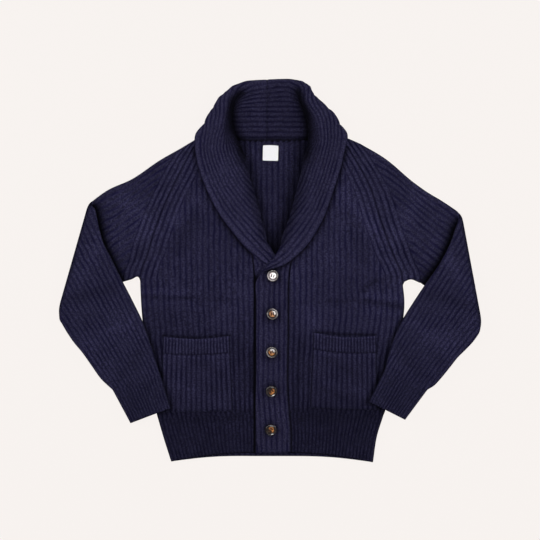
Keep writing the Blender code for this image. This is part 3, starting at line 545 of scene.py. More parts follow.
def front_rows(hem, sides, neck, raglan):
    """Ends of each row, cloth above the hem's edge, the hem's length, first side and raglan rows."""
    hem_rows, hem_length = stretch_of_rows(hem)
    side_rows, side_length = stretch_of_rows(sides)
    top_rows, top_length = stretch_of_rows(list(zip(neck, raglan)))
    ends = np.concatenate((hem_rows, side_rows, top_rows[1:]))
    lengths = np.concatenate((hem_length, hem_length[-1] + HEM_GATHER + side_length))
    lengths = np.concatenate((lengths, lengths[-1] + top_length[1:]))[:, None]
    return ends, lengths, hem_length[-1], len(hem_rows) - 1, len(hem_rows) + len(side_rows) - 1


print("right front:", len(front_rows(RIGHT_HEM, RIGHT_SIDE, RIGHT_NECK, RIGHT_RAGLAN)[0]), "rows")

# %% Where other pieces lie on the fronts
RIGHT_LAPEL = [section[4][:2] for section in RIGHT_STRIP[4:12]]
LEFT_LAPEL = [section[4][:2] for section in LEFT_STRIP[9:18]]
OVER_BAND_EDGE = [(-31.5, -12), (-32.5, -379)]
RIGHT_ARM = [RIGHT_ELBOW[0]] + [row[0] for row in RIGHT_FOREARM + RIGHT_CUFF] + [RIGHT_CUFF[1][1]]
LEFT_ARM = [LEFT_ELBOW[0]] + [row[0] for row in LEFT_FOREARM + LEFT_CUFF] + [LEFT_CUFF[1][1]]
CREASE_SHADE = 0.2


def band_gap(y):
    """Reach and depth of the painted shade in the groove beside the upper band: wide and soft at the hips.
    """
    spread = ease(-140, -170, y) * ease(-262, -235, y)
    return 2.6 + 6.6 * spread, 0.9 - 0.2 * spread


def front_light(x, y, lengths, hem_length, pocket):
    """Where the wool looks darker: the hem, the hips, and under the edges of other pieces."""
    shade = 1.04 - 0.31 * ease(hem_length + 30, hem_length - 6, lengths)
    shade = shade + (0.02 + 0.06 * ease(-100, 0, y) - 0.04 * ease(-150, -200, y)) * (x > 0)
    shade = shade - 0.29 * ease(40, -200, y)
    shade = shade + 0.12 * ease(-285, -320, y)
    (near, far), _ = pocket
    middle = ((near[0] + far[0]) / 2, near[1] - POCKET_SAG + 1.5)
    opening = [(near[0], near[1] + 1.5), middle, (far[0], far[1] + 1.5)]
    return darken(
        shade, x, y,
        (RIGHT_LAPEL, 8.5, 0.62), (LEFT_LAPEL, 8.5, 0.62), (RIGHT_ARM, 6.5, 0.6), (LEFT_ARM, 6.5, 0.6),
        (RIGHT_LAPEL, 3.5, 0.5), (LEFT_LAPEL, 3.5, 0.5), (OVER_BAND_EDGE, *band_gap(y)),
        (opening, 3.0, 0.6),
    )


print("the lapels have", len(RIGHT_LAPEL), "and", len(LEFT_LAPEL), "points")


# %% Grid of a front
class Grid:
    """The places of one piece's points, and what they need, each under its name."""

    def __init__(self, **arrays):
        for name, array in arrays.items():
            setattr(self, name, array)


def front_grid(side, hem, sides, neck, raglan):
    """Places of a front's points, and the counts of ribs in its four parts."""
    ends, lengths, hem_length, first_side, first_top = front_rows(hem, sides, neck, raglan)
    near, far = ends[:, 0], ends[:, 1]
    width = np.abs(far[:, 0] - near[:, 0])
    pit = abs(raglan[0][0] - neck[0][0])
    ribs = round(pit / BODY_PITCH)
    strip = np.minimum(RAGLAN_RIBS * BODY_PITCH * 1.06, width * 0.8)
    inside = np.where(np.arange(len(ends)) >= first_top, 1 - strip / width, 1 - RAGLAN_RIBS / ribs)
    inside = inside[:, None]
    body_columns = (ribs - RAGLAN_RIBS) * PER_RIB
    body = np.linspace(0, 1, body_columns + 1) * inside
    edge = inside + np.linspace(0, 1, RAGLAN_RIBS * PER_RIB + 1)[1:] * (1 - inside)
    t = np.concatenate((body, edge), axis=1)
    row, column = np.ogrid[: len(ends), : t.shape[1]]
    x = near[:, :1] + (far - near)[:, :1] * t
    return Grid(
        t=t, x=x, y=near[:, 1:] + (far - near)[:, 1:] * t + hem_arch(t, lengths),
        near_x=near[:, :1], far_x=far[:, :1], from_side=np.abs(far[:, :1] - x),
        row=row, column=column, body_columns=body_columns,
        lengths=lengths, hem_length=hem_length, first_side=first_side, first_top=first_top,
        above=row >= first_top, in_hem=row <= first_side,
        hem_count=round(ribs * PER_RIB / HEM_PER_RIB) * t, side_count=ribs * t,
        top_count=side * (x - neck[0][0]) / (pit / ribs),
        strip_count=ribs - RAGLAN_RIBS + RAGLAN_RIBS * (t - inside) / (1 - inside),
    )


print("a rib has", PER_RIB, "columns of points")


# %% Ribs and shade of a front
def front_ribs(g):
    """Height of the ribs: low in the hem, and none along the line where they meet the raglan ribs."""
    height = np.where(g.in_hem, FINE_RIB * rib(g.hem_count), RIB * rib(g.side_count))
    height = np.where(g.above & (g.column < g.body_columns), RIB * rib(g.top_count), height)
    height = np.where(g.above & (g.column > g.body_columns), RIB * rib(g.strip_count), height)
    height = np.where((g.row > g.first_top + 4) & (g.column == g.body_columns), 0.0, height)
    height *= ease(0, 7, np.abs(g.lengths - g.hem_length - 3) + 1.5)
    return height * (1 + 0.22 * wander(g.x, g.y, 17, 2.3))


def front_shade(g, x, y, side, pocket):
    """The light on a front, with the shade of its own ribs, hem and seams."""
    shade = front_light(x, y, g.lengths, g.hem_length, pocket)
    shade = shade * (1 - 0.75 * bell(g.lengths, 1.8) * np.minimum(1, 2.2 * (1 - g.t)))
    shade = shade * np.where(g.in_hem, 1.0 + 0.12 * rib(g.hem_count), 1)
    low = ease(-60, -180, y) * (~g.in_hem & ~g.above)
    shade = shade * (1 + 0.28 * low * (rib(g.side_count) - 0.6))
    shade = shade * (1 - 0.75 * bell(x - g.near_x, 2.4) * (y < -20))
    shade = shade * (1 - 0.3 * g.above * bell(g.from_side, 2.2))
    in_strip = g.above & (g.column > g.body_columns)
    return shade * np.where(in_strip, 0.83 - 0.03 * side + 0.32 * rib(g.strip_count), 1)


print(f"ribs of the body are {RIB} mm high, and those of the hem {FINE_RIB} mm")


# %% Laying the fronts
def lay_front(name, side, hem, sides, neck, raglan, rise, pocket):
    g = front_grid(side, hem, sides, neck, raglan)
    height = front_ribs(g)
    turned = np.where(g.above, 0, np.maximum(0, 1 - g.from_side / ROUND))
    turned = 1 - np.sqrt(1 - turned**2)
    seam = 1.3 * bell(g.x - g.near_x, 3.0) + np.where(g.above, 0.7 * bell(g.from_side, 2.4), 0)
    hemmed = 1.5 * bell(g.lengths - 1.0, 2.5)
    x, y = g.x + 0.8 * wander(g.x, g.y, 23, 4.1) * np.minimum(1, g.t * (1 - g.t) * 30), g.y
    floor = base_z(x, y, g.far_x, rise)
    folds = creases(FRONT_CREASES, x, y)
    dent = np.minimum(folds + 0.5, 0)
    top = floor + WALL - (WALL - 0.5) * turned + height * (1 - turned) - seam - hemmed + dent
    outer = np.stack((x, y, top), axis=-1)
    inner = np.stack((x, y, floor - 0.3 * (g.t == 1)), axis=-1)
    along = np.where(g.above & (g.column <= g.body_columns), y + 400, g.lengths)
    zones = [
        (0, 0, field(g.hem_count, g.lengths * 1.25)),
        (g.first_side, 0, field(g.side_count, g.lengths)),
        (g.first_top, 0, field(g.top_count, along)),
        (g.first_top, g.body_columns, field(g.strip_count, g.lengths)),
    ]
    shade = front_shade(g, x, y, side, pocket) * (1 + CREASE_SHADE * folds) * (1 - 0.3 * turned)
    return lay_cloth(name, outer, inner, zones, shade)


front_right = lay_front(
    "front_right_cloth", -1, RIGHT_HEM, RIGHT_SIDE, RIGHT_NECK, RIGHT_RAGLAN, 0.0, RIGHT_POCKET
)
front_left = lay_front(
    "front_left_cloth", 1, LEFT_HEM, LEFT_SIDE, LEFT_NECK, LEFT_RAGLAN, OVER_BAND_RISE, LEFT_POCKET
)

# %% [markdown]
# ## The back
# The back lies flat on the table and shows only inside the neck, so its ribs are raised there
# alone; elsewhere the knitted finish is enough. Under the fronts it has the same outline as they
# have, and its top edge is the neck seam.

# %% Outline of the back
BACK_ROW = 4.5  # spacing of its rows, wider than where the ribs show
BACK_MIDDLE = 4.0
BACK_RIBS = 7  # straight ribs on each side of the middle
BACK_SIDE_COLUMNS = 12
HEM_LINE = -360.0
BACK_HEM = -382.2  # a little longer than the fronts in the middle
NEAR_RIGHT, NEAR_LEFT = -32, 37  # where the fronts end, under the bands
NECK_EDGE = ((-134, 281), (-110, 268), (-92, 268), (-68, 264.6), (-38, 264.6), (-7, 264.6), (36, 264.6),
             (72, 264.6), (98, 267.4), (117, 266), (138, 280))


def side_rows(hem, sides):
    """Rows of one front's outline up to the armpit, with the back's longer middle."""
    hem = np.array(hem, dtype=float)
    hem[0, 0, 1] = BACK_HEM
    return np.concatenate((stretch_of_rows(hem, BACK_ROW)[0], stretch_of_rows(sides, BACK_ROW)[0]))


def even(rows, count):
    return smooth(np.linspace(0, 1, len(rows)), rows, np.linspace(0, 1, count))


def raglan_curve(raglan, count):
    return smooth(np.arange(9), np.array(raglan, dtype=float), np.linspace(0, 8, count))


def back_outline():
    """The back's right and left ends, row by row, and how low its middle hangs."""
    rights, lefts = side_rows(RIGHT_HEM, RIGHT_SIDE), side_rows(LEFT_HEM, LEFT_SIDE)
    count = min(len(rights), len(lefts))
    rights, lefts = even(rights, count), even(lefts, count)
    top_r, top_l = (raglan_curve(raglan, 66)[1:] for raglan in (RIGHT_RAGLAN, LEFT_RAGLAN))
    low_y = np.concatenate(((rights[:, 0, 1] + lefts[:, 0, 1]) / 2, (top_r[:, 1] + top_l[:, 1]) / 2))
    return np.concatenate((rights[:, 1], top_r)), np.concatenate((lefts[:, 1], top_l)), low_y, count


print("the back has", len(back_outline()[0]), "rows")


# %% Laying the back
def lay_back():
    far_r, far_l, low_y, below_pit = back_outline()
    reach = BACK_RIBS * BODY_PITCH
    middle = BACK_MIDDLE + np.linspace(-reach, reach, 2 * BACK_RIBS * PER_RIB + 1)
    out = np.linspace(0, 1, BACK_SIDE_COLUMNS + 1)[:-1]
    x = np.concatenate((
        far_r[:, :1] + (middle[0] - far_r[:, :1]) * out,
        np.repeat(middle[None, :], len(far_r), axis=0),
        far_l[:, :1] + (middle[-1] - far_l[:, :1]) * out[::-1],
    ), axis=1)
    y = np.empty_like(x)
    for i, (right, left, low) in enumerate(zip(far_r, far_l, low_y)):
        y[i] = np.interp(
            x[i], (right[0], NEAR_RIGHT, NEAR_LEFT, left[0]), (right[1], low, low, left[1])
        )
        past_right = (x[i] - NEAR_RIGHT) / (right[0] - NEAR_RIGHT)
        past_left = (x[i] - NEAR_LEFT) / (left[0] - NEAR_LEFT)
        y[i] += hem_arch(np.clip(np.where(x[i] < 0, past_right, past_left), 0, 1), BACK_ROW * i)
    edge = np.array(NECK_EDGE) + (0.0, 1.6)
    y = np.minimum(y, np.interp(x, edge[:, 0], edge[:, 1]) - 0.05 * np.arange(len(x))[::-1, None])
    count = (x - BACK_MIDDLE) / BODY_PITCH
    in_neck = np.minimum(x + 1 + 0.27 * (y - 29), 9 + 0.30 * (y - 22) - x)
    top = WALL + RIB * rib(count) * ease(-6, 2, in_neck) * (y > -20)
    lift = np.zeros_like(x)
    lift[:below_pit, 0] = lift[:below_pit, -1] = 1.8
    right_roll = [section[2][:2] for section in RIGHT_STRIP[3:13]]
    left_roll = [section[2][:2] for section in LEFT_STRIP[10:19]]
    shade = darken(
        0.94 - 0.18 * (y < HEM_LINE), x, y,
        (right_roll, 15, 0.62), (left_roll, 26, 0.72), ([(-60, 266), (60, 266)], 4, 0.45),
    )
    outer, inner = np.stack((x, y, top), axis=-1), np.stack((x, y, lift), axis=-1)
    return lay_cloth("back_cloth", outer, inner, [(0, 0, field(count, y + 400))], shade)


back = lay_back()

# %% [markdown]
# ## Collar and bands
# The band and the shawl collar are one long rib strip on each side: it runs up the front, turns
# over at the top button, widens into the lapel and goes round the neck to a seam at the centre
# back. A cloth simulation could turn it over, but its edge would then lie where it fell, and not
# where the solid's is. So it is laid section by section: each row of the tables is drawn as a
# curve from the free edge over the roll to the seam, and the sections are joined along the strip.
# The ribs run along the strip, counted from the free edge, so the seam cuts them off.

# %% One section of a strip
SECTION_PLACES = 37
ROLL_PLACE = 19  # the place of a section that lies near its roll


def controls(section):
    """The six points that a section's curve goes through, from the free edge to the seam."""
    seam, stand_z, roll, fall, edge = section
    seam, roll, fall = (np.array(point, dtype=float) for point in (seam, roll, fall))
    stand = seam + (roll - seam) * 0.6
    stand[2] = stand_z
    crown = roll + (fall - roll) * 0.3
    crown[2] += min(2.4, abs(roll[2] - seam[2]) + abs(fall[2] - roll[2]))
    return np.array((edge, fall, crown, roll, stand, seam))


def across_section(section):
    """Even places over one section, from the free edge to the seam, and its width."""
    points = controls(section)
    steps = np.sqrt(np.linalg.norm(np.diff(points, axis=0), axis=1))
    knots = np.concatenate(([0.0], np.cumsum(steps)))
    curve = smooth(knots, points, np.linspace(0, knots[-1], 160))
    walked = distances(curve)
    places = np.linspace(0, walked[-1], SECTION_PLACES)
    return np.stack([np.interp(places, walked, curve[:, k]) for k in range(3)], axis=-1), walked[-1]


print(f"the lapel is {across_section(RIGHT_STRIP[9])[1]:.0f} mm wide over its roll")


# %% Grid of a strip
STRIP_ROW = 3.0
STRIP_COLUMNS = 108
STAND_FOOT = 265.0  # the neck seam, which the ribs of the stand run level with
TUCKED = 1.6  # how far the strip's last column reaches into the seam


def soften(rows, reach):
    """A moving average along the rows, which keeps both ends where they are."""
    size = int(3 * reach)
    weights = np.exp(-((np.arange(-size, size + 1) / reach) ** 2) / 2)
    before, after = 2 * rows[0] - rows[size:0:-1], 2 * rows[-1] - rows[-2 : -size - 2 : -1]
    padded = np.concatenate((before, rows, after))
    total = sum(weight * padded[k : k + len(rows)] for k, weight in enumerate(weights))
    return total / weights.sum()


def strip_grid(sections, side, flat_count, fineness):
    """Places midway in a strip's wall, what faces up there, and its count of ribs."""
    spread, widths = (np.array(part) for part in zip(*map(across_section, sections)))
    knots = distances(spread)
    rows, along = stretch_of_rows(spread, STRIP_ROW)
    width = np.interp(along, knots, widths)[:, None]
    trimmed = np.where(np.arange(len(widths)) < flat_count, max(widths[:flat_count]) - widths, 0)
    first = np.interp(along, knots, trimmed)[:, None]
    part = np.linspace(0, 1, STRIP_COLUMNS + 1)
    rows = soften(rows, 2.6).swapaxes(0, 1)
    fine = smooth(np.linspace(0, 1, SECTION_PLACES), rows, part).swapaxes(0, 1)
    onward = fine[:, -1] - fine[:, -2]
    fine[:, -1] += TUCKED * onward / np.linalg.norm(onward, axis=1, keepdims=True)
    fine[-1, :, 0] += 0.35 * side
    normal = np.cross(np.gradient(fine, axis=1), np.gradient(fine, axis=0)) * side
    normal /= np.linalg.norm(normal, axis=-1, keepdims=True)
    across = width * part
    roll_y = np.interp(along, knots, spread[:, ROLL_PLACE, 1])
    finer = soften(np.interp(roll_y, *np.array(fineness, dtype=float).T), 6)[:, None]
    border = SELVEDGE * ease(20, 70, roll_y)[:, None] * ease(0, 14, across)
    count = (across + first - border) * finer / COLLAR_PITCH
    level = (width[-1] + STAND_FOOT - fine[..., 1]) / COLLAR_PITCH
    stand = ease(0.47, 0.72, part) * ease(246, 292, roll_y)[:, None]
    return Grid(
        fine=fine, x=fine[..., 0], y=fine[..., 1], normal=normal, part=part, along=along[:, None],
        across=across, width=width, count=count + (level - count) * stand,
        back_seam=bell(along[-1] - along, 2.2)[:, None],
    )


print("a strip is laid in", STRIP_COLUMNS, "columns, its body ribs in", PER_RIB, "each")


# %% Shade of the strips
def strip_light(g, sections, flat_count):
    """Darker inside the stand, beside the roll, at the neck seam and under what lies on it."""
    x, y, part = g.x, g.y, g.part
    roll = [section[2][:2] for section in sections[flat_count:]]
    stand = ease(0.40, 0.52, part) * ease(200, 250, y)
    rolled = ease(25, 60, y) * ease(262, 225, y)
    shade = darken(1.1 - 0.26 * stand, x, y, (roll[:-2], 12, 0.9 * stand), (roll, 14, 0.55 * rolled))
    return shade * (1 - 0.82 * bell((1 - part) * 70, 2.4)) * (1 - 0.3 * g.back_seam)


def right_light(shade, x, y):
    """The right half lies under the left band and lapel."""
    shade = shade * (1.05 + 0.06 * ease(130, 90, y) * ease(40, 60, y))
    reach, depth = band_gap(y)
    gap, lapel = (OVER_BAND_EDGE, reach, depth * (y < 0)), (LEFT_LAPEL[:2], 7, 0.65 * (y > -30))
    return darken(shade, x, y, gap, lapel)


def left_light(shade, x, y, part):
    """The left half has painted shade at its edge in front and under its own lapel over it, and a soft ring
    of painted shadow round each button.
    """
    shade = shade * (1 - 0.05 * ease(60, 130, y) + 0.04 * ease(130, 90, y) * ease(20, 40, y))
    shade = shade * (1 - 0.03 * ease(-40, -60, y)) * (1 - 0.04 * ease(-200, -230, y))
    edge, lapel = (OVER_BAND_EDGE, 1.6, 0.5 * ease(-12, -30, y)), (LEFT_LAPEL[:4], 6, 0.7 * (part > 0.3))
    shade = darken(shade, x, y, edge, lapel)
    for number in range(1, 6):
        low, high = (np.array(corner[:2]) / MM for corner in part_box(f"button_{number}"))
        middle = (low + high) / 2
        shade = darken(shade, x, y, ([middle, middle + 0.5], 14.5, 0.9))
    return shade


print(f"the groove beside the band reaches {band_gap(0)[0]:.1f} mm, and {band_gap(-200)[0]:.1f} at the hips")


# %% Laying the strips
def lay_strip(name, sections, side, flat_count, fineness):
    """side is 1 for the wearer's right half. flat_count sections lie flat, as the front band."""
    g = strip_grid(sections, side, flat_count, fineness)
    end = np.minimum(1, np.minimum(g.across, g.along + 0.6) / 2.4 + 0.12)
    end = np.sqrt(np.clip(1 - (1 - end) ** 2, 0.05, 1))
    faces = []
    for face in (1, -1):
        shows = np.clip((g.normal[..., 2] * face + 0.1) / 0.4, 0, 1) * (face == 1 or side == -1)
        ribs = RIB * rib(g.count) * shows * np.minimum(1, (g.width - g.across) / 3)
        off = (COLLAR_WALL / 2 * end + ribs - 0.9 * g.back_seam) * face
        place = g.fine + g.normal * off[..., None]
        place[..., 2] = np.maximum(place[..., 2], 0.0)
        faces.append(place)
    shade = strip_light(g, sections, flat_count)
    shade = right_light(shade, g.x, g.y) if side == 1 else left_light(shade, g.x, g.y, g.part)
    return lay_cloth(name, *faces, [(0, 0, field(g.count, g.along))], shade)


collar_right = lay_strip("collar_right_cloth", RIGHT_STRIP, 1, 3, RIGHT_FINENESS)
collar_left = lay_strip("collar_left_cloth", LEFT_STRIP, -1, 10, LEFT_FINENESS)

# %% [markdown]
# ## The sleeves
# A raglan sleeve is a flat tube. Next to the seam three ribs follow the raglan line, as on the
# body; beyond them the upper sleeve's ribs lie evenly across it. At the elbow the tube is folded
# back on itself, so the forearm shows the sleeve's other side, whose ribs draw together towards a
# fine rib cuff. Two separate pieces would show a gap at the fold, so the sleeve is one tube of
# rings. Each table row is a ring: a chord from the upper to the under edge, how much of the seam's
# curve it keeps, and how far its two ends are lifted off what they lie on.

# %% Rings of a sleeve
HALF = WALL + HOLLOW  # from the middle of the flat tube to its outer face
FOLD_RADIUS = FOREARM_RISE / 2
FOLD_STEP = 15
SEAM_INSET = 0.7


def ring(a, b, bow=0.0, turn=0.0, lift_a=0.0, lift_b=0.0):
    """Two ends, the share of the seam's bow, the turn round the fold in degrees, and two lifts."""
    return np.array((*a, *b, bow, turn, lift_a, lift_b), dtype=float)


def away_from_body(along, side):
    """The direction square to a line, on the side away from the body."""
    square = np.array((along[1], -along[0])) / np.linalg.norm(along)
    return square * np.sign(square[0] * side)


def raglan_bow(raglan, side):
    """Ends of the seam, and how far it bows off its chord at each place from neck to armpit."""
    fine = raglan_curve(raglan, 65)[::-1]
    chord = fine[-1] - fine[0]
    stops = (fine - fine[0]) @ chord / (chord @ chord)
    inset = away_from_body(chord, side) * SEAM_INSET
    return (fine[0] - inset, fine[-1] - inset), stops, fine - fine[0] - stops[:, None] * chord


print(f"the right sleeve's seam bows {np.abs(raglan_bow(RIGHT_RAGLAN, -1)[2]).max():.1f} mm off its chord")


# %% Rings round the elbow
def elbow_rings(elbow, side):
    """Rings round the fold, whose ends slip along it a little as it turns."""
    fold_a, fold_b = (np.array(end, dtype=float) for end in elbow[:2])
    down = (fold_b - fold_a) / np.linalg.norm(fold_b - fold_a)
    out = away_from_body(fold_b - fold_a, side)
    rings = []
    for turn in range(0, 181, FOLD_STEP):
        shift = out * (FOLD_RADIUS * math.sin(math.radians(turn)) - FOLD_RADIUS - HALF - RIB)
        slip_a, slip_b = (start + (end - start) * turn / 180 for start, end in elbow[2:])
        rings.append(ring(fold_a + shift + down * slip_a, fold_b + shift + down * slip_b, 0, turn))
    return rings


def even_rings(rings):
    """Even rings through a few. Their ends run in curves, their turn and lifts in straight lines."""
    rings = np.array(rings)
    knots = distances(rings[:, :4].reshape(-1, 2, 2))
    where = np.linspace(0, knots[-1], round(knots[-1] / ROW) + 1)
    curved = smooth(knots, rings, where)
    for k in (5, 6, 7):
        curved[:, k] = np.interp(where, knots, rings[:, k])
    return curved


print("the fold of an elbow has", len(elbow_rings(RIGHT_ELBOW, -1)), "rings")


# %% Grid of a sleeve
BAND_ROWS = RAGLAN_RIBS * PER_RIB


def sleeve_grid(side, raglan, upper, elbow, forearm, cuff):
    """The rings of a whole sleeve, and what each needs to be drawn round the flat tube."""
    start, stops, bows = raglan_bow(raglan, side)
    band = np.linspace(ring(*start, 1.0), ring(*upper[0]), BAND_ROWS + 1)
    fold = elbow_rings(elbow, side)
    upper_rows = even_rings([ring(*row) for row in upper] + fold[:1])[1:]
    fore_rows = even_rings(fold[-1:] + [ring(a, b, 0, 180, *lifts) for a, b, *lifts in forearm])[1:]
    cuff_rows = even_rings([ring(a, b, 0, 180, *lifts) for a, b, *lifts in cuff])
    rings = np.concatenate((band, upper_rows, fold[1:], fore_rows, cuff_rows))

    a, b = rings[:, 0:2], rings[:, 2:4]
    length = np.linalg.norm(b - a, axis=1)[:, None]
    across = (b - a) / length
    outs = np.stack((across[:, 1], -across[:, 0]), axis=1)
    outs *= np.sign(outs[:, :1] * side)
    turn = np.radians(rings[:, 5:6])
    half_way = np.linspace(0, 1, SLEEVE_COLUMNS + 1)
    t = np.concatenate((half_way, half_way[-2::-1]))
    row, column = np.ogrid[: len(rings), : len(t)]
    on_top = column <= SLEEVE_COLUMNS
    steps = np.hypot(*np.diff((a + b) / 2, axis=0).T) + 0.01
    walked = np.concatenate(([0.0], np.cumsum(steps)))[:, None]
    first_fold = len(band) + len(upper_rows) - 1
    inside = np.minimum(t, 1 - t) * length
    at_fold = bell(np.abs(walked - walked[first_fold + 6]), 9)
    return Grid(
        a=a[:, None, :], b=b[:, None, :], length=length, across=across, t=t, row=row, column=column,
        bow=rings[:, 4, None, None], lifts=rings[:, 6:8], bends=(stops, bows), walked=walked,
        outs=outs[:, None, :], up=np.concatenate((outs * np.sin(turn), np.cos(turn)), axis=1)[:, None, :],
        turn=turn, middle=HALF + FOLD_RADIUS * (1 - np.cos(turn)), on_top=on_top, at_fold=at_fold,
        first_fold=first_fold, first_cuff=len(rings) - len(cuff_rows), folded=rings[:, 5:6] > 1,
        inside=inside,
        rounded=np.sqrt(np.maximum(0, 1 - np.maximum(0, 1 - inside / (4.5 + 9 * at_fold)) ** 2)),
        shows=on_top * np.clip(np.cos(turn), 0, 1) + ~on_top * np.clip(rings[:, 5:6] / 90, 0, 1),
    )


print("a sleeve has", 2 * SLEEVE_COLUMNS, "columns round it")


# %% Ribs of a sleeve
def sleeve_counts(g, side, forearm, fan):
    """Counts of ribs in the raglan band, the arm and the cuff."""
    arm = np.array(forearm[-2][0], dtype=float) - np.array(forearm[2][0], dtype=float)
    arm /= np.linalg.norm(arm)
    square = np.abs(g.across[:, :1] * arm[1] - g.across[:, 1:] * arm[0]) * g.length
    even_count = SLEEVE_RIBS * g.t
    spoke = g.a + (g.b - g.a) * g.t[None, :, None] - np.array(fan[0])
    spread = np.arctan2(-side * spoke[..., 0], spoke[..., 1]) / fan[1]
    upper_side = g.on_top & ~((g.column == SLEEVE_COLUMNS) & g.folded)
    cuff_ribs = np.round(square[g.first_cuff] / CUFF_PITCH)
    band_count = np.minimum(g.row, BAND_ROWS) / PER_RIB
    arm_count = np.where(upper_side, even_count, 60 - spread)
    return band_count, arm_count, np.where(upper_side, even_count, 60 - cuff_ribs * g.t)


def sleeve_ribs(g, band_count, count, plump):
    """Height of the ribs on the faces that show. plump is how full the upper sleeve's are."""
    tall = np.where(g.row >= g.first_cuff, FINE_RIB, RIB)
    tall = np.where((g.row > BAND_ROWS) & g.on_top, tall * plump, tall)
    fade = ease(0, 5, np.abs(g.row - g.first_cuff) * ROW + 2.6)
    height = tall * rib(count) * g.shows * fade
    return np.where(g.row <= BAND_ROWS, RIB * rib(band_count) * g.shows * g.on_top, height)


print("ribs across an upper sleeve:", SLEEVE_RIBS)


# %% Places round the tube
def sleeve_places(g, t, dip):
    """Places at parts t of each ring's chord, with the seam's bow and the underarm's dip."""
    bow = np.stack([np.interp(g.t, g.bends[0], g.bends[1][:, k]) for k in (0, 1)], axis=-1)
    places = g.a + (g.b - g.a) * t[..., None] + bow[None] * g.bow
    return places, dip * bell((1 - t) * g.length, 14)


def with_height(g, places, t):
    lift_a, lift_b = g.lifts[:, :1], g.lifts[:, 1:]
    z = g.middle + lift_a * (1 - t) + lift_b * t
    return np.concatenate((places, z[..., None]), axis=-1)


print(f"a flattened sleeve is {2 * HALF:.1f} mm thick before its ribs")


# %% Faces of a sleeve
def sleeve_faces(g, height, arch):
    """Outer and inner face. arch is how high the underarm rises, how far past the seam, how wide."""
    t = g.t[None, :]
    dip = arch[0] * bell(g.walked - arch[1], arch[2]) - 9 * bell(g.walked, 2.5)
    flat_place, fall = sleeve_places(g, t, dip)
    tuck = 2.0 * np.clip(1 - t * g.length / 20, 0, 1) ** 2
    tuck = (tuck + 2.0 * np.clip(1 - (1 - t) * g.length / 24, 0, 1) ** 2) * g.at_fold
    flat_place = flat_place - g.outs * tuck[..., None]
    flat_place[..., 1] += fall
    x, y = flat_place[..., 0], flat_place[..., 1]
    soft = (creases(SLEEVE_CREASES, x, y) + 0.3 * wander(x, y, 27, 3.3)) * np.minimum(1, g.inside / 25)
    soft = soft * np.minimum(1, g.row / 12) * (g.on_top | g.folded) * g.shows
    seam = 0.7 * bell(g.row * BODY_PITCH / PER_RIB, 2.4) * g.on_top
    end = 1.3 * bell((len(g.row) - 1 - g.row) * ROW, 2.5)
    side_of = np.where(g.on_top, 1.0, -1.0)
    off = (HALF + height - seam - end + soft) * g.rounded * side_of
    outer = with_height(g, flat_place, t) + g.up * off[..., None]

    inset = WALL / g.length
    t_in = np.clip(t, inset, 1 - inset)
    in_place, fall = sleeve_places(g, t_in, dip)
    in_place[..., 1] += fall
    hollow = HOLLOW * side_of * (t_in == t)
    inner = with_height(g, in_place, t_in) + g.up * hollow[..., None]
    inner[:, -1] = inner[:, 0]
    outer[:, -1] = outer[:, 0]
    return outer, inner, x, y


print("walls of a folded sleeve lie", 2 * HOLLOW, "mm apart")


# %% Shade of a sleeve
def sleeve_light(g, x, y, side, band_count, count, plump, arm_line):
    """Darker where the forearm lies over it, along the seam, in the fold and at the cuff."""
    before_fold = g.row < g.first_fold
    shade = np.where(before_fold, 1.05, 1.01) - 0.17 * ease(g.first_cuff - 5, g.first_cuff + 2, g.row)
    soft_ribs = (g.row > BAND_ROWS) & before_fold & g.on_top
    shade = shade * np.where(soft_ribs, 1 + (1 - plump) * (0.6 - rib(count)), 1)
    under = g.on_top & before_fold
    shade = darken(
        shade, x, y,
        (arm_line, 15, 0.55 * under), (arm_line, 6, 0.85 * under), (arm_line[1:5], 11, 0.6 * under),
    )
    shade = shade * (1 - 0.3 * bell(g.row * 1.9, 2.2))
    shade = shade * np.where(g.row <= BAND_ROWS, 0.83 - 0.03 * side + 0.34 * rib(band_count), 1)
    shade = shade * (1 + 0.16 * creases(SLEEVE_CREASES, x, y))
    shade = shade * (1 - 0.5 * np.sin(g.turn)) * (0.5 + 0.5 * g.rounded)
    shade[:, -1] = shade[:, 0]
    return shade


print("the forearms shade what is under", len(RIGHT_ARM), "and", len(LEFT_ARM), "points of their edges")


# %% Laying the sleeves
def lay_sleeve(name, side, raglan, upper, elbow, forearm, cuff, arm_line, fan, arch, plump):
    g = sleeve_grid(side, raglan, upper, elbow, forearm, cuff)
    band_count, arm_count, cuff_count = sleeve_counts(g, side, forearm, fan)
    count = np.where(g.row >= g.first_cuff, cuff_count, arm_count)
    height = sleeve_ribs(g, band_count, count, plump)
    outer, inner, x, y = sleeve_faces(g, height, arch)
    zones = [
        (0, 0, field(band_count, g.t * g.length)),
        (BAND_ROWS, 0, field(arm_count, g.walked)),
        (g.first_cuff, 0, field(cuff_count, g.walked)),
    ]
    shade = sleeve_light(g, x, y, side, band_count, count, plump, arm_line)
    return lay_cloth(name, outer, inner, zones, shade, tube=True)


sleeve_right = lay_sleeve(
    "sleeve_right_cloth", -1, RIGHT_RAGLAN, RIGHT_UPPER, RIGHT_ELBOW, RIGHT_FOREARM, RIGHT_CUFF,
    RIGHT_ARM, RIGHT_FAN, (2.5, 11, 7), 0.56,
)
sleeve_left = lay_sleeve(
    "sleeve_left_cloth", 1, LEFT_RAGLAN, LEFT_UPPER, LEFT_ELBOW, LEFT_FOREARM, LEFT_CUFF,
    LEFT_ARM, LEFT_FAN, (8.6, 20, 17), 0.84,
)

# %% [markdown]
# ## The pockets
# Each patch pocket lies on its front, with a fine rib border along the opening that sags and gapes
# a little. A separate flat sheet would sink into the front's folds or float over them, so the
# pocket takes its height from the front under it.

# %% Grid of a pocket
POCKET_ROW = 2.6
POCKET_PITCH = BODY_PITCH * 0.93  # sewn on a little stretched, so its ribs lie closer


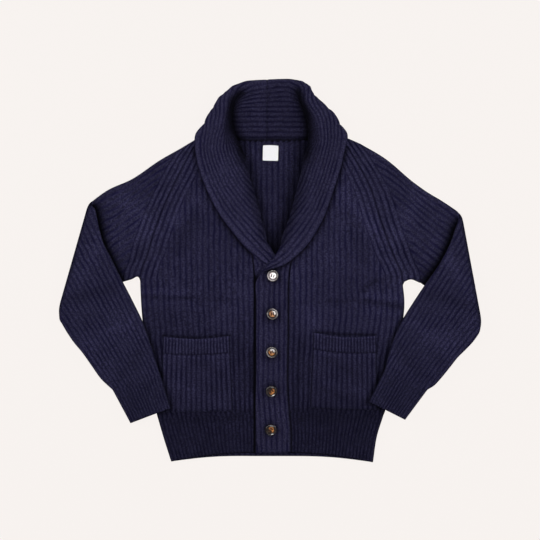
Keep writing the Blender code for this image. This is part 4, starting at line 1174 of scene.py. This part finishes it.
def pocket_grid(corners):
    """Places of a pocket's points, seen from above, and how far each is from its edges."""
    (top_near, top_far), (low_near, low_far) = np.array(corners, dtype=float)
    depth = top_near[1] - low_near[1]
    rows = round(depth / POCKET_ROW)
    border = round(rows * POCKET_BORDER / depth)
    ribs = round(abs(low_far[0] - low_near[0]) / POCKET_PITCH)
    border_ribs = round(abs(top_far[0] - top_near[0]) / BORDER_PITCH)
    down = np.linspace(0, 1, rows + 1)[:, None]
    t = np.linspace(0, 1, ribs * 2 * PER_RIB + 1)[None, :]
    near, far = top_near + (low_near - top_near) * down, top_far + (low_far - top_far) * down
    x = near[:, :1] + (far - near)[:, :1] * t
    y = near[:, 1:] + (far - near)[:, 1:] * t
    row = np.arange(rows + 1)[:, None]
    in_border = row <= border
    return Grid(
        x=x, y=y - POCKET_SAG * np.sin(np.pi * t) * np.maximum(0, 1 - down * 1.6), t=t, down=down,
        border=border, border_count=border_ribs * t, rib_count=ribs * t, in_border=in_border,
        ribbed=rib(np.where(in_border, border_ribs, ribs) * t), from_border=(row - border) * POCKET_ROW,
        along=down * depth, above_low=(1 - down) * depth,
        from_near=np.abs(x - near[:, :1]), from_far=np.abs(x - far[:, :1]),
    )


print("the right pocket has", pocket_grid(RIGHT_POCKET).x.size, "points")


# %% Shade of a pocket
def pocket_light(g, rise, arm):
    """Painted highlights on the ribs and rim, and painted shade under the border, along the seams and beside
    the forearm.
    """
    shade = 0.94 - 0.5 * bell(g.from_border - 0.5, 1.6) - 0.12 * ease(0.3, 0.9, g.down)
    shade = shade + 0.22 * bell(g.from_border - 6, 4.0)
    shade = shade * np.where(g.in_border, 0.76 + 0.50 * g.ribbed, 0.83 + 0.28 * g.ribbed)
    shade = shade * (1 + 0.18 * creases(FRONT_CREASES, g.x, g.y)) * (0.93 if rise else 1.0)
    shade = shade + 0.45 * bell(g.along - 2.0, 2.2)
    shade = shade * (1 - 0.4 * bell(g.from_near, 2.0)) * (1 - 0.4 * bell(g.from_far, 2.0))
    return darken(shade, g.x, g.y, (arm, 6.5, 0.6)) - 0.06 * ease(10, 2, g.above_low)


shaded = pocket_light(pocket_grid(RIGHT_POCKET), 0, RIGHT_ARM)
print(f"shade of the right pocket: {shaded.min():.2f} to {shaded.max():.2f}")


# %% Laying the pockets
def lay_pocket(name, corners, rise, outer_x, arm):
    g = pocket_grid(corners)
    tall = np.where(g.in_border, FINE_RIB, RIB)
    height = tall * g.ribbed * ease(0, 5, np.abs(g.from_border - 3) + 0.6)
    height = height + 0.9 * ease(1, -1, g.from_border) - 1.0 * bell(g.from_border - 1.5, 2.2)
    floor = base_z(g.x, g.y, outer_x, rise) + WALL + POCKET_RISE
    floor = floor + POCKET_GAPE * np.sin(np.pi * g.t) * np.maximum(0, 1 - g.down * 2.5)
    away = np.minimum(np.minimum(g.from_near, g.from_far), g.above_low)
    sewn = 2.6 * bell(away, 2.4) + 1.4 * bell(g.above_low, 5.0)
    rim = 0.9 * bell(g.along, 1.0) - 0.7 * bell(g.along - 3.0, 2.0)
    outer = np.stack((g.x, g.y, floor + WALL + height - sewn - rim), axis=-1)
    inner = np.stack((g.x, g.y, floor - sewn * 0.8), axis=-1)
    zones = [(0, 0, field(g.border_count, g.along)), (g.border, 0, field(g.rib_count, g.along))]
    return lay_cloth(name, outer, inner, zones, pocket_light(g, rise, arm))


pocket_right = lay_pocket("pocket_right_cloth", RIGHT_POCKET, 0.0, -262.0, RIGHT_ARM)
pocket_left = lay_pocket("pocket_left_cloth", LEFT_POCKET, OVER_BAND_RISE, 268.0, LEFT_ARM)

# %% [markdown]
# ## Knitted finish
# Navy wool is a dusty blue-violet on its ribs, where loose fibres catch the light, and its grooves
# are painted almost black, as painted shade. Stitches modelled one by one would take millions of
# faces, so they are drawn by nodes over the modelled ribs. One node group reads the UV map: it marks
# the grooves, draws the V of each stitch in a height for the bump, and adds fuzz. Each wool then
# mixes its rib colour and the painted shade of its grooves with these masks, darkens them by the
# shade that was laid on its points, and has its own shader.


# %% Nodes in few words
def fill(tree, made, inputs):
    """Set or link each named socket of a node."""
    for key, value in inputs.items():
        if isinstance(value, bpy.types.NodeSocket):
            tree.links.new(value, made.inputs[key])
        else:
            made.inputs[key].default_value = value


def node(tree, kind, inputs=None, **settings):
    """Add a node, with its settings and its inputs."""
    made = tree.nodes.new(kind)
    for key, value in settings.items():
        setattr(made, key, value)
    fill(tree, made, inputs or {})
    return made


def calc(tree, operation, a, b=0.0):
    return node(tree, "ShaderNodeMath", {0: a, 1: b}, operation=operation).outputs[0]


def ramp(tree, value, low, high, to_low=0.0, to_high=1.0):
    """A soft step from to_low to to_high, while the value goes from low to high."""
    inputs = {"Value": value, "From Min": low, "From Max": high, "To Min": to_low, "To Max": to_high}
    return node(tree, "ShaderNodeMapRange", inputs, interpolation_type="SMOOTHSTEP").outputs[0]


def noise(tree, place, scale, **inputs):
    return node(tree, "ShaderNodeTexNoise", {"Vector": place, "Scale": scale, **inputs}).outputs[0]


def mix(tree, factor, a, b, blend="MIX"):
    """Mix two colours, each a link or three numbers."""
    a, b = (value if isinstance(value, bpy.types.NodeSocket) else (*value, 1) for value in (a, b))
    inputs = {"Factor": factor, "A": a, "B": b}
    return node(tree, "ShaderNodeMix", inputs, data_type="RGBA", blend_type=blend).outputs[2]


# %% A material from its sockets
def painted(tree, name):
    """A value that was given to the points of a piece."""
    return node(tree, "ShaderNodeAttribute", attribute_name=name, attribute_type="GEOMETRY").outputs["Fac"]


def in_object(tree):
    return node(tree, "ShaderNodeTexCoord").outputs["Object"]


def on_map(tree):
    return node(tree, "ShaderNodeUVMap", uv_map="UVMap").outputs[0]


def material(name, sockets):
    """A new material. sockets(tree) makes its nodes and gives the Principled shader's inputs."""
    made = bpy.data.materials.new(name)
    made.use_nodes = True
    tree = made.node_tree
    fill(tree, tree.nodes["Principled BSDF"], sockets(tree))
    print(name, "has", len(tree.nodes), "nodes")
    return made


# %% The stitch group
GROUP_SOCKETS = (
    ("Counts", "INPUT", "Vector"), ("Place", "INPUT", "Vector"),
    ("Height", "OUTPUT", "Float"), ("Groove", "OUTPUT", "Float"), ("Fleck", "OUTPUT", "Float"),
)


def stitch_height(tree, in_rib, along, groove, fuzz):
    """The legs of a stitch lean both ways, with a valley between them. The groove is sunk."""
    wale = calc(tree, "FRACT", calc(tree, "MULTIPLY", in_rib, 2.0))
    leg = calc(tree, "MULTIPLY", calc(tree, "ABSOLUTE", calc(tree, "SUBTRACT", wale, 0.5)), 1.5)
    wave = calc(tree, "SINE", calc(tree, "MULTIPLY", calc(tree, "ADD", along, leg), 2 * math.pi))
    valley = calc(tree, "MULTIPLY", calc(tree, "COSINE", calc(tree, "MULTIPLY", wale, 2 * math.pi)), -0.3)
    stitch = calc(tree, "ADD", calc(tree, "MULTIPLY", wave, 0.42), valley)
    height = calc(tree, "MULTIPLY", stitch, calc(tree, "SUBTRACT", 1.0, groove))
    height = calc(tree, "ADD", height, calc(tree, "MULTIPLY", groove, -1.6))
    return calc(tree, "ADD", height, calc(tree, "MULTIPLY", fuzz, 0.9))


def stitch_group():
    tree = bpy.data.node_groups.new("rib stitches", "ShaderNodeTree")
    for name, way, kind in GROUP_SOCKETS:
        tree.interface.new_socket(name, in_out=way, socket_type=f"NodeSocket{kind}")
    given = tree.nodes.new("NodeGroupInput").outputs
    place = given["Place"]
    across, along = node(tree, "ShaderNodeSeparateXYZ", {0: given["Counts"]}).outputs[:2]
    drift = noise(tree, place, 60.0, Detail=3.0)
    uneven = calc(tree, "MULTIPLY", calc(tree, "SUBTRACT", drift, 0.5), 0.5)
    in_rib = calc(tree, "FRACT", calc(tree, "ADD", across, uneven))
    from_middle = calc(tree, "ABSOLUTE", calc(tree, "SUBTRACT", in_rib, 0.5))
    fullness = ramp(tree, noise(tree, place, 38.0, Detail=2.0), 0.3, 0.68, 0.5, 1.0)
    groove = calc(tree, "MULTIPLY", ramp(tree, from_middle, 0.12, 0.5), fullness)
    fuzz = noise(tree, place, 900.0, Detail=3.0, Roughness=0.7)
    height = stitch_height(tree, in_rib, along, groove, fuzz)
    fleck = noise(tree, place, 330.0, Detail=2.0, Roughness=0.6)
    fill(tree, tree.nodes.new("NodeGroupOutput"), {"Height": height, "Groove": groove, "Fleck": fleck})
    return tree


STITCHES = stitch_group()
print("stitch group:", len(STITCHES.nodes), "nodes")

# %% Knit materials
STITCH_DEPTH = 0.0007  # metres that the bump stands for
DUSTY, DEEP = 1.55, 0.55  # how light the ribs' colour is on loose fibres, and between them


def knit(name, rib_colour, painted_groove_shade):
    def sockets(tree):
        place = in_object(tree)
        masks = node(tree, "ShaderNodeGroup", node_tree=STITCHES)
        fill(tree, masks, {"Counts": on_map(tree), "Place": place})
        dusty, deep = (tuple(c * light for c in rib_colour) for light in (DUSTY, DEEP))
        yarn = mix(tree, ramp(tree, masks.outputs["Fleck"], 0.34, 0.68), deep, dusty)
        patches = ramp(tree, noise(tree, place, 9.0, Detail=3.0), 0.3, 0.7, 0.0, 0.35)
        # the grooves take the second colour, which is painted shade
        colour = mix(tree, masks.outputs["Groove"], mix(tree, patches, yarn, deep), painted_groove_shade)
        bump = {"Height": masks.outputs["Height"], "Strength": 0.9, "Distance": STITCH_DEPTH}
        return {
            "Base Color": mix(tree, 1.0, colour, painted(tree, "shade"), "MULTIPLY"),
            "Normal": node(tree, "ShaderNodeBump", bump).outputs[0],
            "Roughness": 0.95, "Specular IOR Level": 0.03, "Sheen Weight": 0.015,
            "Sheen Roughness": 0.6, "Sheen Tint": (0.45, 0.45, 0.75, 1),
        }

    return material(name, sockets)


# each wool's second colour is painted shade for its grooves
body_knit = knit("body wool", (0.0214, 0.0198, 0.0480), (0.0058, 0.0052, 0.0216))
collar_knit = knit("collar wool", (0.0233, 0.0213, 0.0505), (0.0055, 0.0049, 0.0205))
sleeve_knit = knit("sleeve wool", (0.0221, 0.0205, 0.0490), (0.0054, 0.0048, 0.0205))
pocket_knit = knit("pocket wool", (0.0216, 0.0199, 0.0480), (0.0056, 0.0050, 0.0210))


# %% Each knitted piece stands for its solid
def dress(piece, stands_for=None):
    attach(piece, "root")
    if stands_for:
        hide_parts(stands_for)


KNITTED = (
    ("body knit", body_knit, (back, front_right, front_left)),
    ("sleeve knit", sleeve_knit, (sleeve_right, sleeve_left)),
    ("collar knit", collar_knit, (collar_right, collar_left)),
    ("pocket knit", pocket_knit, (pocket_right, pocket_left)),
)
for slot, wool, pieces in KNITTED:
    for piece in pieces:
        piece.data.materials.append(wool)
        dress(piece, piece.name.removesuffix("_cloth"))
    print(slot, "on", len(pieces), "pieces")

# %% [markdown]
# ## The buttons
# Each button is turned from horn: a rounded rim round a shallow dish with four sewing holes. A
# profile could be spun round an axis, but a disc drawn up ring by ring stays closed in the middle,
# where the holes go. One is modelled: the disc is drawn up through the rings of its profile, the
# holes are cut with a Boolean, and dark thread is laid in two bars. The others are copies, each
# turned and tipped a little as sewn buttons are. Horn is streaked, so a painted mask says where
# the dish is amber and where it is dark. Another mask paints a whitish reflection of the lamps on
# the rim and the dish, strongest on one side of each button.

# %% One button
BUTTON_RADIUS = 11.8
BUTTON_PROFILE = (
    # ring radius as a part of the whole, height
    (0.86, 0.3), (0.97, 1.2), (1.0, 2.3), (0.99, 3.3), (0.96, 4.1), (0.92, 4.5), (0.88, 4.6),
    (0.83, 4.45), (0.76, 4.12), (0.68, 3.84), (0.60, 3.66), (0.50, 3.52), (0.38, 3.42), (0.2, 3.38),
)
HOLE_RADIUS = 1.1
HOLE_PLACE = 2.35


def turned_disc():
    radius, height = 0.6 * BUTTON_RADIUS, 0.0
    deselect()
    bpy.ops.mesh.primitive_circle_add(vertices=64, radius=radius * MM, fill_type="NGON")
    disc = bpy.context.object
    bpy.ops.object.mode_set(mode="EDIT")
    bpy.ops.mesh.select_all(action="SELECT")
    for part, rise in BUTTON_PROFILE:
        bpy.ops.mesh.extrude_region_move(TRANSFORM_OT_translate={"value": (0, 0, (rise - height) * MM)})
        scale = part * BUTTON_RADIUS / radius
        bpy.ops.transform.resize(value=(scale, scale, 1), center_override=(0, 0, 0))
        radius, height = part * BUTTON_RADIUS, rise
    bpy.ops.mesh.select_all(action="SELECT")
    bpy.ops.mesh.normals_make_consistent(inside=False)
    bpy.ops.object.mode_set(mode="OBJECT")
    return disc


def cut_hole(disc, x, y):
    deselect()
    bpy.ops.mesh.primitive_cylinder_add(
        vertices=20, radius=HOLE_RADIUS * MM, depth=12 * MM, location=(x * MM, y * MM, 0)
    )
    drill = bpy.context.object
    bpy.context.view_layer.objects.active = disc
    hole = disc.modifiers.new("sewing hole", "BOOLEAN")
    hole.operation = "DIFFERENCE"
    hole.object = drill
    bpy.ops.object.modifier_apply(modifier=hole.name)
    bpy.data.objects.remove(drill)


disc = turned_disc()
for x in (-HOLE_PLACE, HOLE_PLACE):
    for y in (-HOLE_PLACE, HOLE_PLACE):
        cut_hole(disc, x, y)
print("a button has", len(disc.data.polygons), "faces")

# %% Thread through the holes
THREAD_HEIGHT = 3.45
THREAD_RADIUS = 0.56


def bead(segments, rings, radius, stretch, place, lean):
    """A ball drawn out in edit mode, put in its place and leant."""
    deselect()
    bpy.ops.mesh.primitive_uv_sphere_add(segments=segments, ring_count=rings, radius=radius * MM)
    yarn = bpy.context.object
    in_edit_mode(yarn, lambda: bpy.ops.transform.resize(value=stretch, center_override=(0, 0, 0)))
    yarn.location = [value * MM for value in place]
    yarn.rotation_euler = (0, 0, lean)
    return yarn


strands = [
    bead(10, 12, THREAD_RADIUS, (1, 6.6, 1.3), (bar + shift, 0, THREAD_HEIGHT - abs(shift) * 0.2), lean)
    for bar in (-HOLE_PLACE, HOLE_PLACE)
    for shift, lean in ((-0.55, 0.06), (0.0, -0.05), (0.55, 0.04))
]
print(len(strands), "strands of thread in two bars")


# %% Horn and thread
def horn_sockets(tree):
    streaks = noise(tree, on_map(tree), 2.6, Detail=4.0, Roughness=0.6, Distortion=1.2)
    dish = painted(tree, "dish")
    amber = mix(tree, ramp(tree, streaks, 0.35, 0.65), (0.17, 0.060, 0.017), (0.60, 0.24, 0.065))
    smoke = mix(tree, ramp(tree, streaks, 0.4, 0.72), (0.006, 0.004, 0.004), (0.040, 0.028, 0.024))
    streaked = mix(tree, dish, smoke, amber)
    return {
        # the whitish colour here is a painted reflection of the lamps on the rim and dish
        "Base Color": mix(tree, painted(tree, "painted_reflection"), streaked, (0.66, 0.59, 0.61)),
        "Roughness": ramp(tree, streaks, 0.3, 0.8, 0.12, 0.3), "Specular IOR Level": 0.35,
        "Coat Weight": ramp(tree, dish, 0.0, 1.0, 0.3, 0.8), "Coat Roughness": 0.05, "Coat IOR": 1.7,
    }


def thread_sockets(tree):
    twist = noise(tree, in_object(tree), 2600.0)
    colour = mix(tree, twist, (0.014, 0.008, 0.008), (0.050, 0.026, 0.022))
    return {"Base Color": colour, "Roughness": 0.8, "Specular IOR Level": 0.05}


horn = material("turned horn", horn_sockets)
thread = material("waxed thread", thread_sockets)
disc.data.materials.append(horn)
for yarn in strands:
    yarn.data.materials.append(thread)

# %% Thread and disc in one piece, with its UV map
pick(*strands, disc)
bpy.ops.object.join()
for mask in ("dish", "painted_reflection"):
    disc.data.attributes.new(mask, "FLOAT", "POINT")
flat_places = read(disc.data.vertices, "co", 3).reshape(-1, 3)[:, :2] / MM / BUTTON_RADIUS
from_middle = np.hypot(*flat_places.T)
around = np.arctan2(flat_places[:, 1], flat_places[:, 0])
mapped = disc.data.uv_layers.active
mapped.name = "UVMap"
corner = read(disc.data.loops, "vertex_index", kind=np.int32)
mapped.data.foreach_set("uv", flat_places[corner].reshape(-1))
pick(disc)
bpy.ops.object.shade_smooth_by_angle(angle=math.radians(38))
print("a button with its thread has", len(disc.data.vertices), "vertices")

# %% Five buttons
SEWN_OFF = 0.25  # how far a button stands off its solid's lowest point
BUTTON_LOOKS = (
    # tilt two ways, painted reflection on rim and dish, its brightest side, how dark the streak is, its far
    # side
    (-6.0, 0.0, 0.55, 0.80, 230, 0.0, 0),
    (-11.0, 6.0, 0.28, 0.03, 30, 0.5, 215),
    (-13.0, 7.0, 0.21, 0.0, 200, 0.8, 240),
    (9.0, 2.5, 0.02, 0.0, 210, 0.95, -25),
    (10.0, -3.0, 0.02, 0.0, -60, 0.95, 40),
)


def paint_button(button, turn, rim_reflection, dish_reflection, reflection_side, dark, amber_side):
    """Paint a whitish reflection on the rim and dish, and set how much of the dish is amber."""
    # a painted reflection, brightest on one side of the button
    facing = 0.25 + 0.75 * ease(-0.3, 1, np.cos(around + turn - math.radians(reflection_side)))
    rim = rim_reflection * facing * ease(1.02, 0.90, from_middle) * ease(0.66, 0.80, from_middle)
    painted_reflection = rim + dish_reflection * ease(0.66, 0.54, from_middle)
    streak = ease(0.08, -0.22, np.cos(around + turn - math.radians(amber_side)) * from_middle)
    button.data.attributes["painted_reflection"].data.foreach_set("value", painted_reflection)
    amber = ease(0.60, 0.46, from_middle) * (1 - dark * streak)
    button.data.attributes["dish"].data.foreach_set("value", amber)


for number, (tip_x, tip_y, *look) in enumerate(BUTTON_LOOKS):
    button = disc.copy()
    button.data = disc.data.copy()
    solid = f"button_{number + 1}"
    button.name = button.data.name = f"{solid}_horn"
    turn = 0.3 * number - 0.25
    paint_button(button, turn, *look)
    bpy.context.scene.collection.objects.link(button)
    low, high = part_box(solid)
    centre = [(a + b) / 2 for a, b in zip(low, high)]
    button.location = (centre[0], centre[1], low[2] + SEWN_OFF * MM)
    button.rotation_euler = (math.radians(tip_x), math.radians(tip_y), turn)
    pick(button)
    bpy.ops.object.transform_apply(location=True, rotation=True, scale=True)
    dress(button, solid)
bpy.data.objects.remove(disc)
print(len(BUTTON_LOOKS), "buttons sewn on")

# %% [markdown]
# ## The neck label
# A bare woven tape square is caught down with a few stitches at each corner. A flat square would
# look like paper, so a small grid has its corners pulled in and its middle puffed up a little, and
# lies not quite straight. The weave is too fine to model, so it is in the bump.

# %% Label
LABEL_SIZE = 31.6
LABEL_CELLS = 24
LABEL_WALL = 0.55
LABEL_SHIFT = np.array((-0.3, 0.6))  # from the middle of its solid
LABEL_TILT = math.radians(-1.2)


def lay_label():
    low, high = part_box("neck_label")
    middle = np.array([(a + b) / 2 for a, b in zip(low[:2], high[:2])]) / MM + LABEL_SHIFT
    deselect()
    bpy.ops.mesh.primitive_grid_add(x_subdivisions=LABEL_CELLS, y_subdivisions=LABEL_CELLS, size=1)
    piece = bpy.context.object
    piece.name = piece.data.name = "neck_label_cloth"
    side = np.linspace(-1, 1, LABEL_CELLS + 1)
    u, v = np.meshgrid(side, side)
    pull = 1 - 0.022 * (np.abs(u * v) ** 6)
    x, y = u * pull * LABEL_SIZE / 2, v * pull * LABEL_SIZE / 2
    y = y + 0.25 * np.cos(u * 3.1) * (v > 0.9)
    puff = 0.5 * (1 - np.abs(u * v) ** 3) + 0.18 * np.sin(3 * u + 1) * np.cos(2.4 * v)
    points = np.stack((
        middle[0] + x * math.cos(LABEL_TILT) - y * math.sin(LABEL_TILT),
        middle[1] + x * math.sin(LABEL_TILT) + y * math.cos(LABEL_TILT),
        low[2] / MM + 0.25 + puff,
    ), axis=-1)
    piece.data.vertices.foreach_set("co", (points * MM).reshape(-1))
    add_wall(piece, LABEL_WALL, 1)
    bpy.ops.object.shade_smooth_by_angle(angle=math.radians(50))
    return piece, points


label, label_points = lay_label()
print("label is", LABEL_SIZE, "mm wide, with", len(label.data.vertices), "vertices")

# %% Woven tape
THREADS = 52  # threads of the weave each way, over the whole label


def tape_sockets(tree):
    across, along = node(tree, "ShaderNodeSeparateXYZ", {0: on_map(tree)}).outputs[:2]
    warp = calc(tree, "SINE", calc(tree, "MULTIPLY", across, 2 * math.pi * THREADS))
    weft = calc(tree, "SINE", calc(tree, "MULTIPLY", along, 2 * math.pi * THREADS))
    weave = calc(tree, "MULTIPLY", warp, weft)
    bump = {"Height": weave, "Strength": 0.5, "Distance": 0.00015}
    return {
        "Base Color": mix(tree, ramp(tree, weave, -1.0, 0.6), (0.78, 0.77, 0.80), (0.92, 0.915, 0.93)),
        "Normal": node(tree, "ShaderNodeBump", bump).outputs[0],
        "Roughness": 0.75, "Specular IOR Level": 0.2,
    }


tape = material("woven tape", tape_sockets)
label.data.materials.append(tape)
dress(label, "neck_label")

# %% Corner stitches of the label
stitches = [
    bead(8, 8, 0.3, (7, 1, 1), label_points[row, col] + (0, shift, LABEL_WALL), lean + shift * 0.2)
    for row, col, lean in ((2, 2, -0.8), (2, -3, 0.8), (-3, 2, 0.8), (-3, -3, -0.8))
    for shift in (-0.5, 0.5)
]
label_stitches = stitches[0]
pick(*stitches[1:], label_stitches)
bpy.ops.object.join()
label_stitches.name = label_stitches.data.name = "label_stitches"
bpy.ops.object.transform_apply(location=True, rotation=True, scale=True)
bpy.ops.object.shade_smooth()
label_stitches.data.materials.append(tape)
dress(label_stitches)
print(len(stitches), "stitches hold the label")

# %% [markdown]
# ## Table, light and camera
# The cardigan is seen from straight above on a warm white table, under large soft lights, so the
# shadows between the layers are soft. A lit table would be brighter in the middle, so this one
# glows a little and stays even.

# %% Table
deselect()
bpy.ops.mesh.primitive_grid_add(x_subdivisions=8, y_subdivisions=8, size=24.0, location=(0, 0, -0.0004))
table = bpy.context.object
table.name = "table"


def paper_sockets(tree):
    return {
        "Base Color": (0.03, 0.03, 0.03, 1), "Roughness": 1.0, "Specular IOR Level": 0.0,
        "Emission Color": (0.902, 0.860, 0.835, 1), "Emission Strength": 1.0,
    }


table.data.materials.append(material("warm white table", paper_sockets))

# %% Lights
world = bpy.data.worlds.new("soft room")
bpy.context.scene.world = world
world.use_nodes = True
world.node_tree.nodes["Background"].inputs[0].default_value = (1.0, 1.0, 1.0, 1)
world.node_tree.nodes["Background"].inputs[1].default_value = 0.17


def soft_light(name, place, size, power):
    """A round lamp that points at the middle of the cardigan."""
    light = bpy.data.lights.new(name, "AREA")
    light.shape = "DISK"
    light.size = size
    light.energy = power
    lamp = bpy.data.objects.new(name, light)
    bpy.context.scene.collection.objects.link(lamp)
    lamp.location = place
    x, y, z = place
    lamp.rotation_euler = (math.atan2(math.hypot(x, y), z), 0, math.atan2(-x, y) + math.pi)


LIGHTS = (
    # name, place and size in metres, power
    ("overhead light", (0.0, 0.72, 3.4), 1.3, 52),
    ("left light", (-2.1, 0.7, 1.15), 1.1, 28),
    ("right light", (2.1, 0.5, 1.15), 1.1, 26),
    ("low light", (0.2, -2.1, 1.2), 1.1, 10),
)
for light in LIGHTS:
    soft_light(*light)
print(len(LIGHTS), "lights")

# %% Camera
PIXELS = 540
PIXEL = 2.05 * MM
CAMERA_HEIGHT = 3.2
SCALE_HEIGHT = 0.009  # where a pixel has that width
SENSOR = 36.0
deselect()
bpy.ops.object.camera_add(location=(-0.001, 0.0, CAMERA_HEIGHT), rotation=(0, 0, 0))
camera = bpy.context.object
camera.name = "camera"
camera.data.sensor_width = SENSOR
camera.data.lens = SENSOR * (CAMERA_HEIGHT - SCALE_HEIGHT) / (PIXELS * PIXEL)
bpy.context.scene.camera = camera
bpy.context.scene.view_settings.view_transform = "Standard"
print(f"lens {camera.data.lens:.1f} mm")
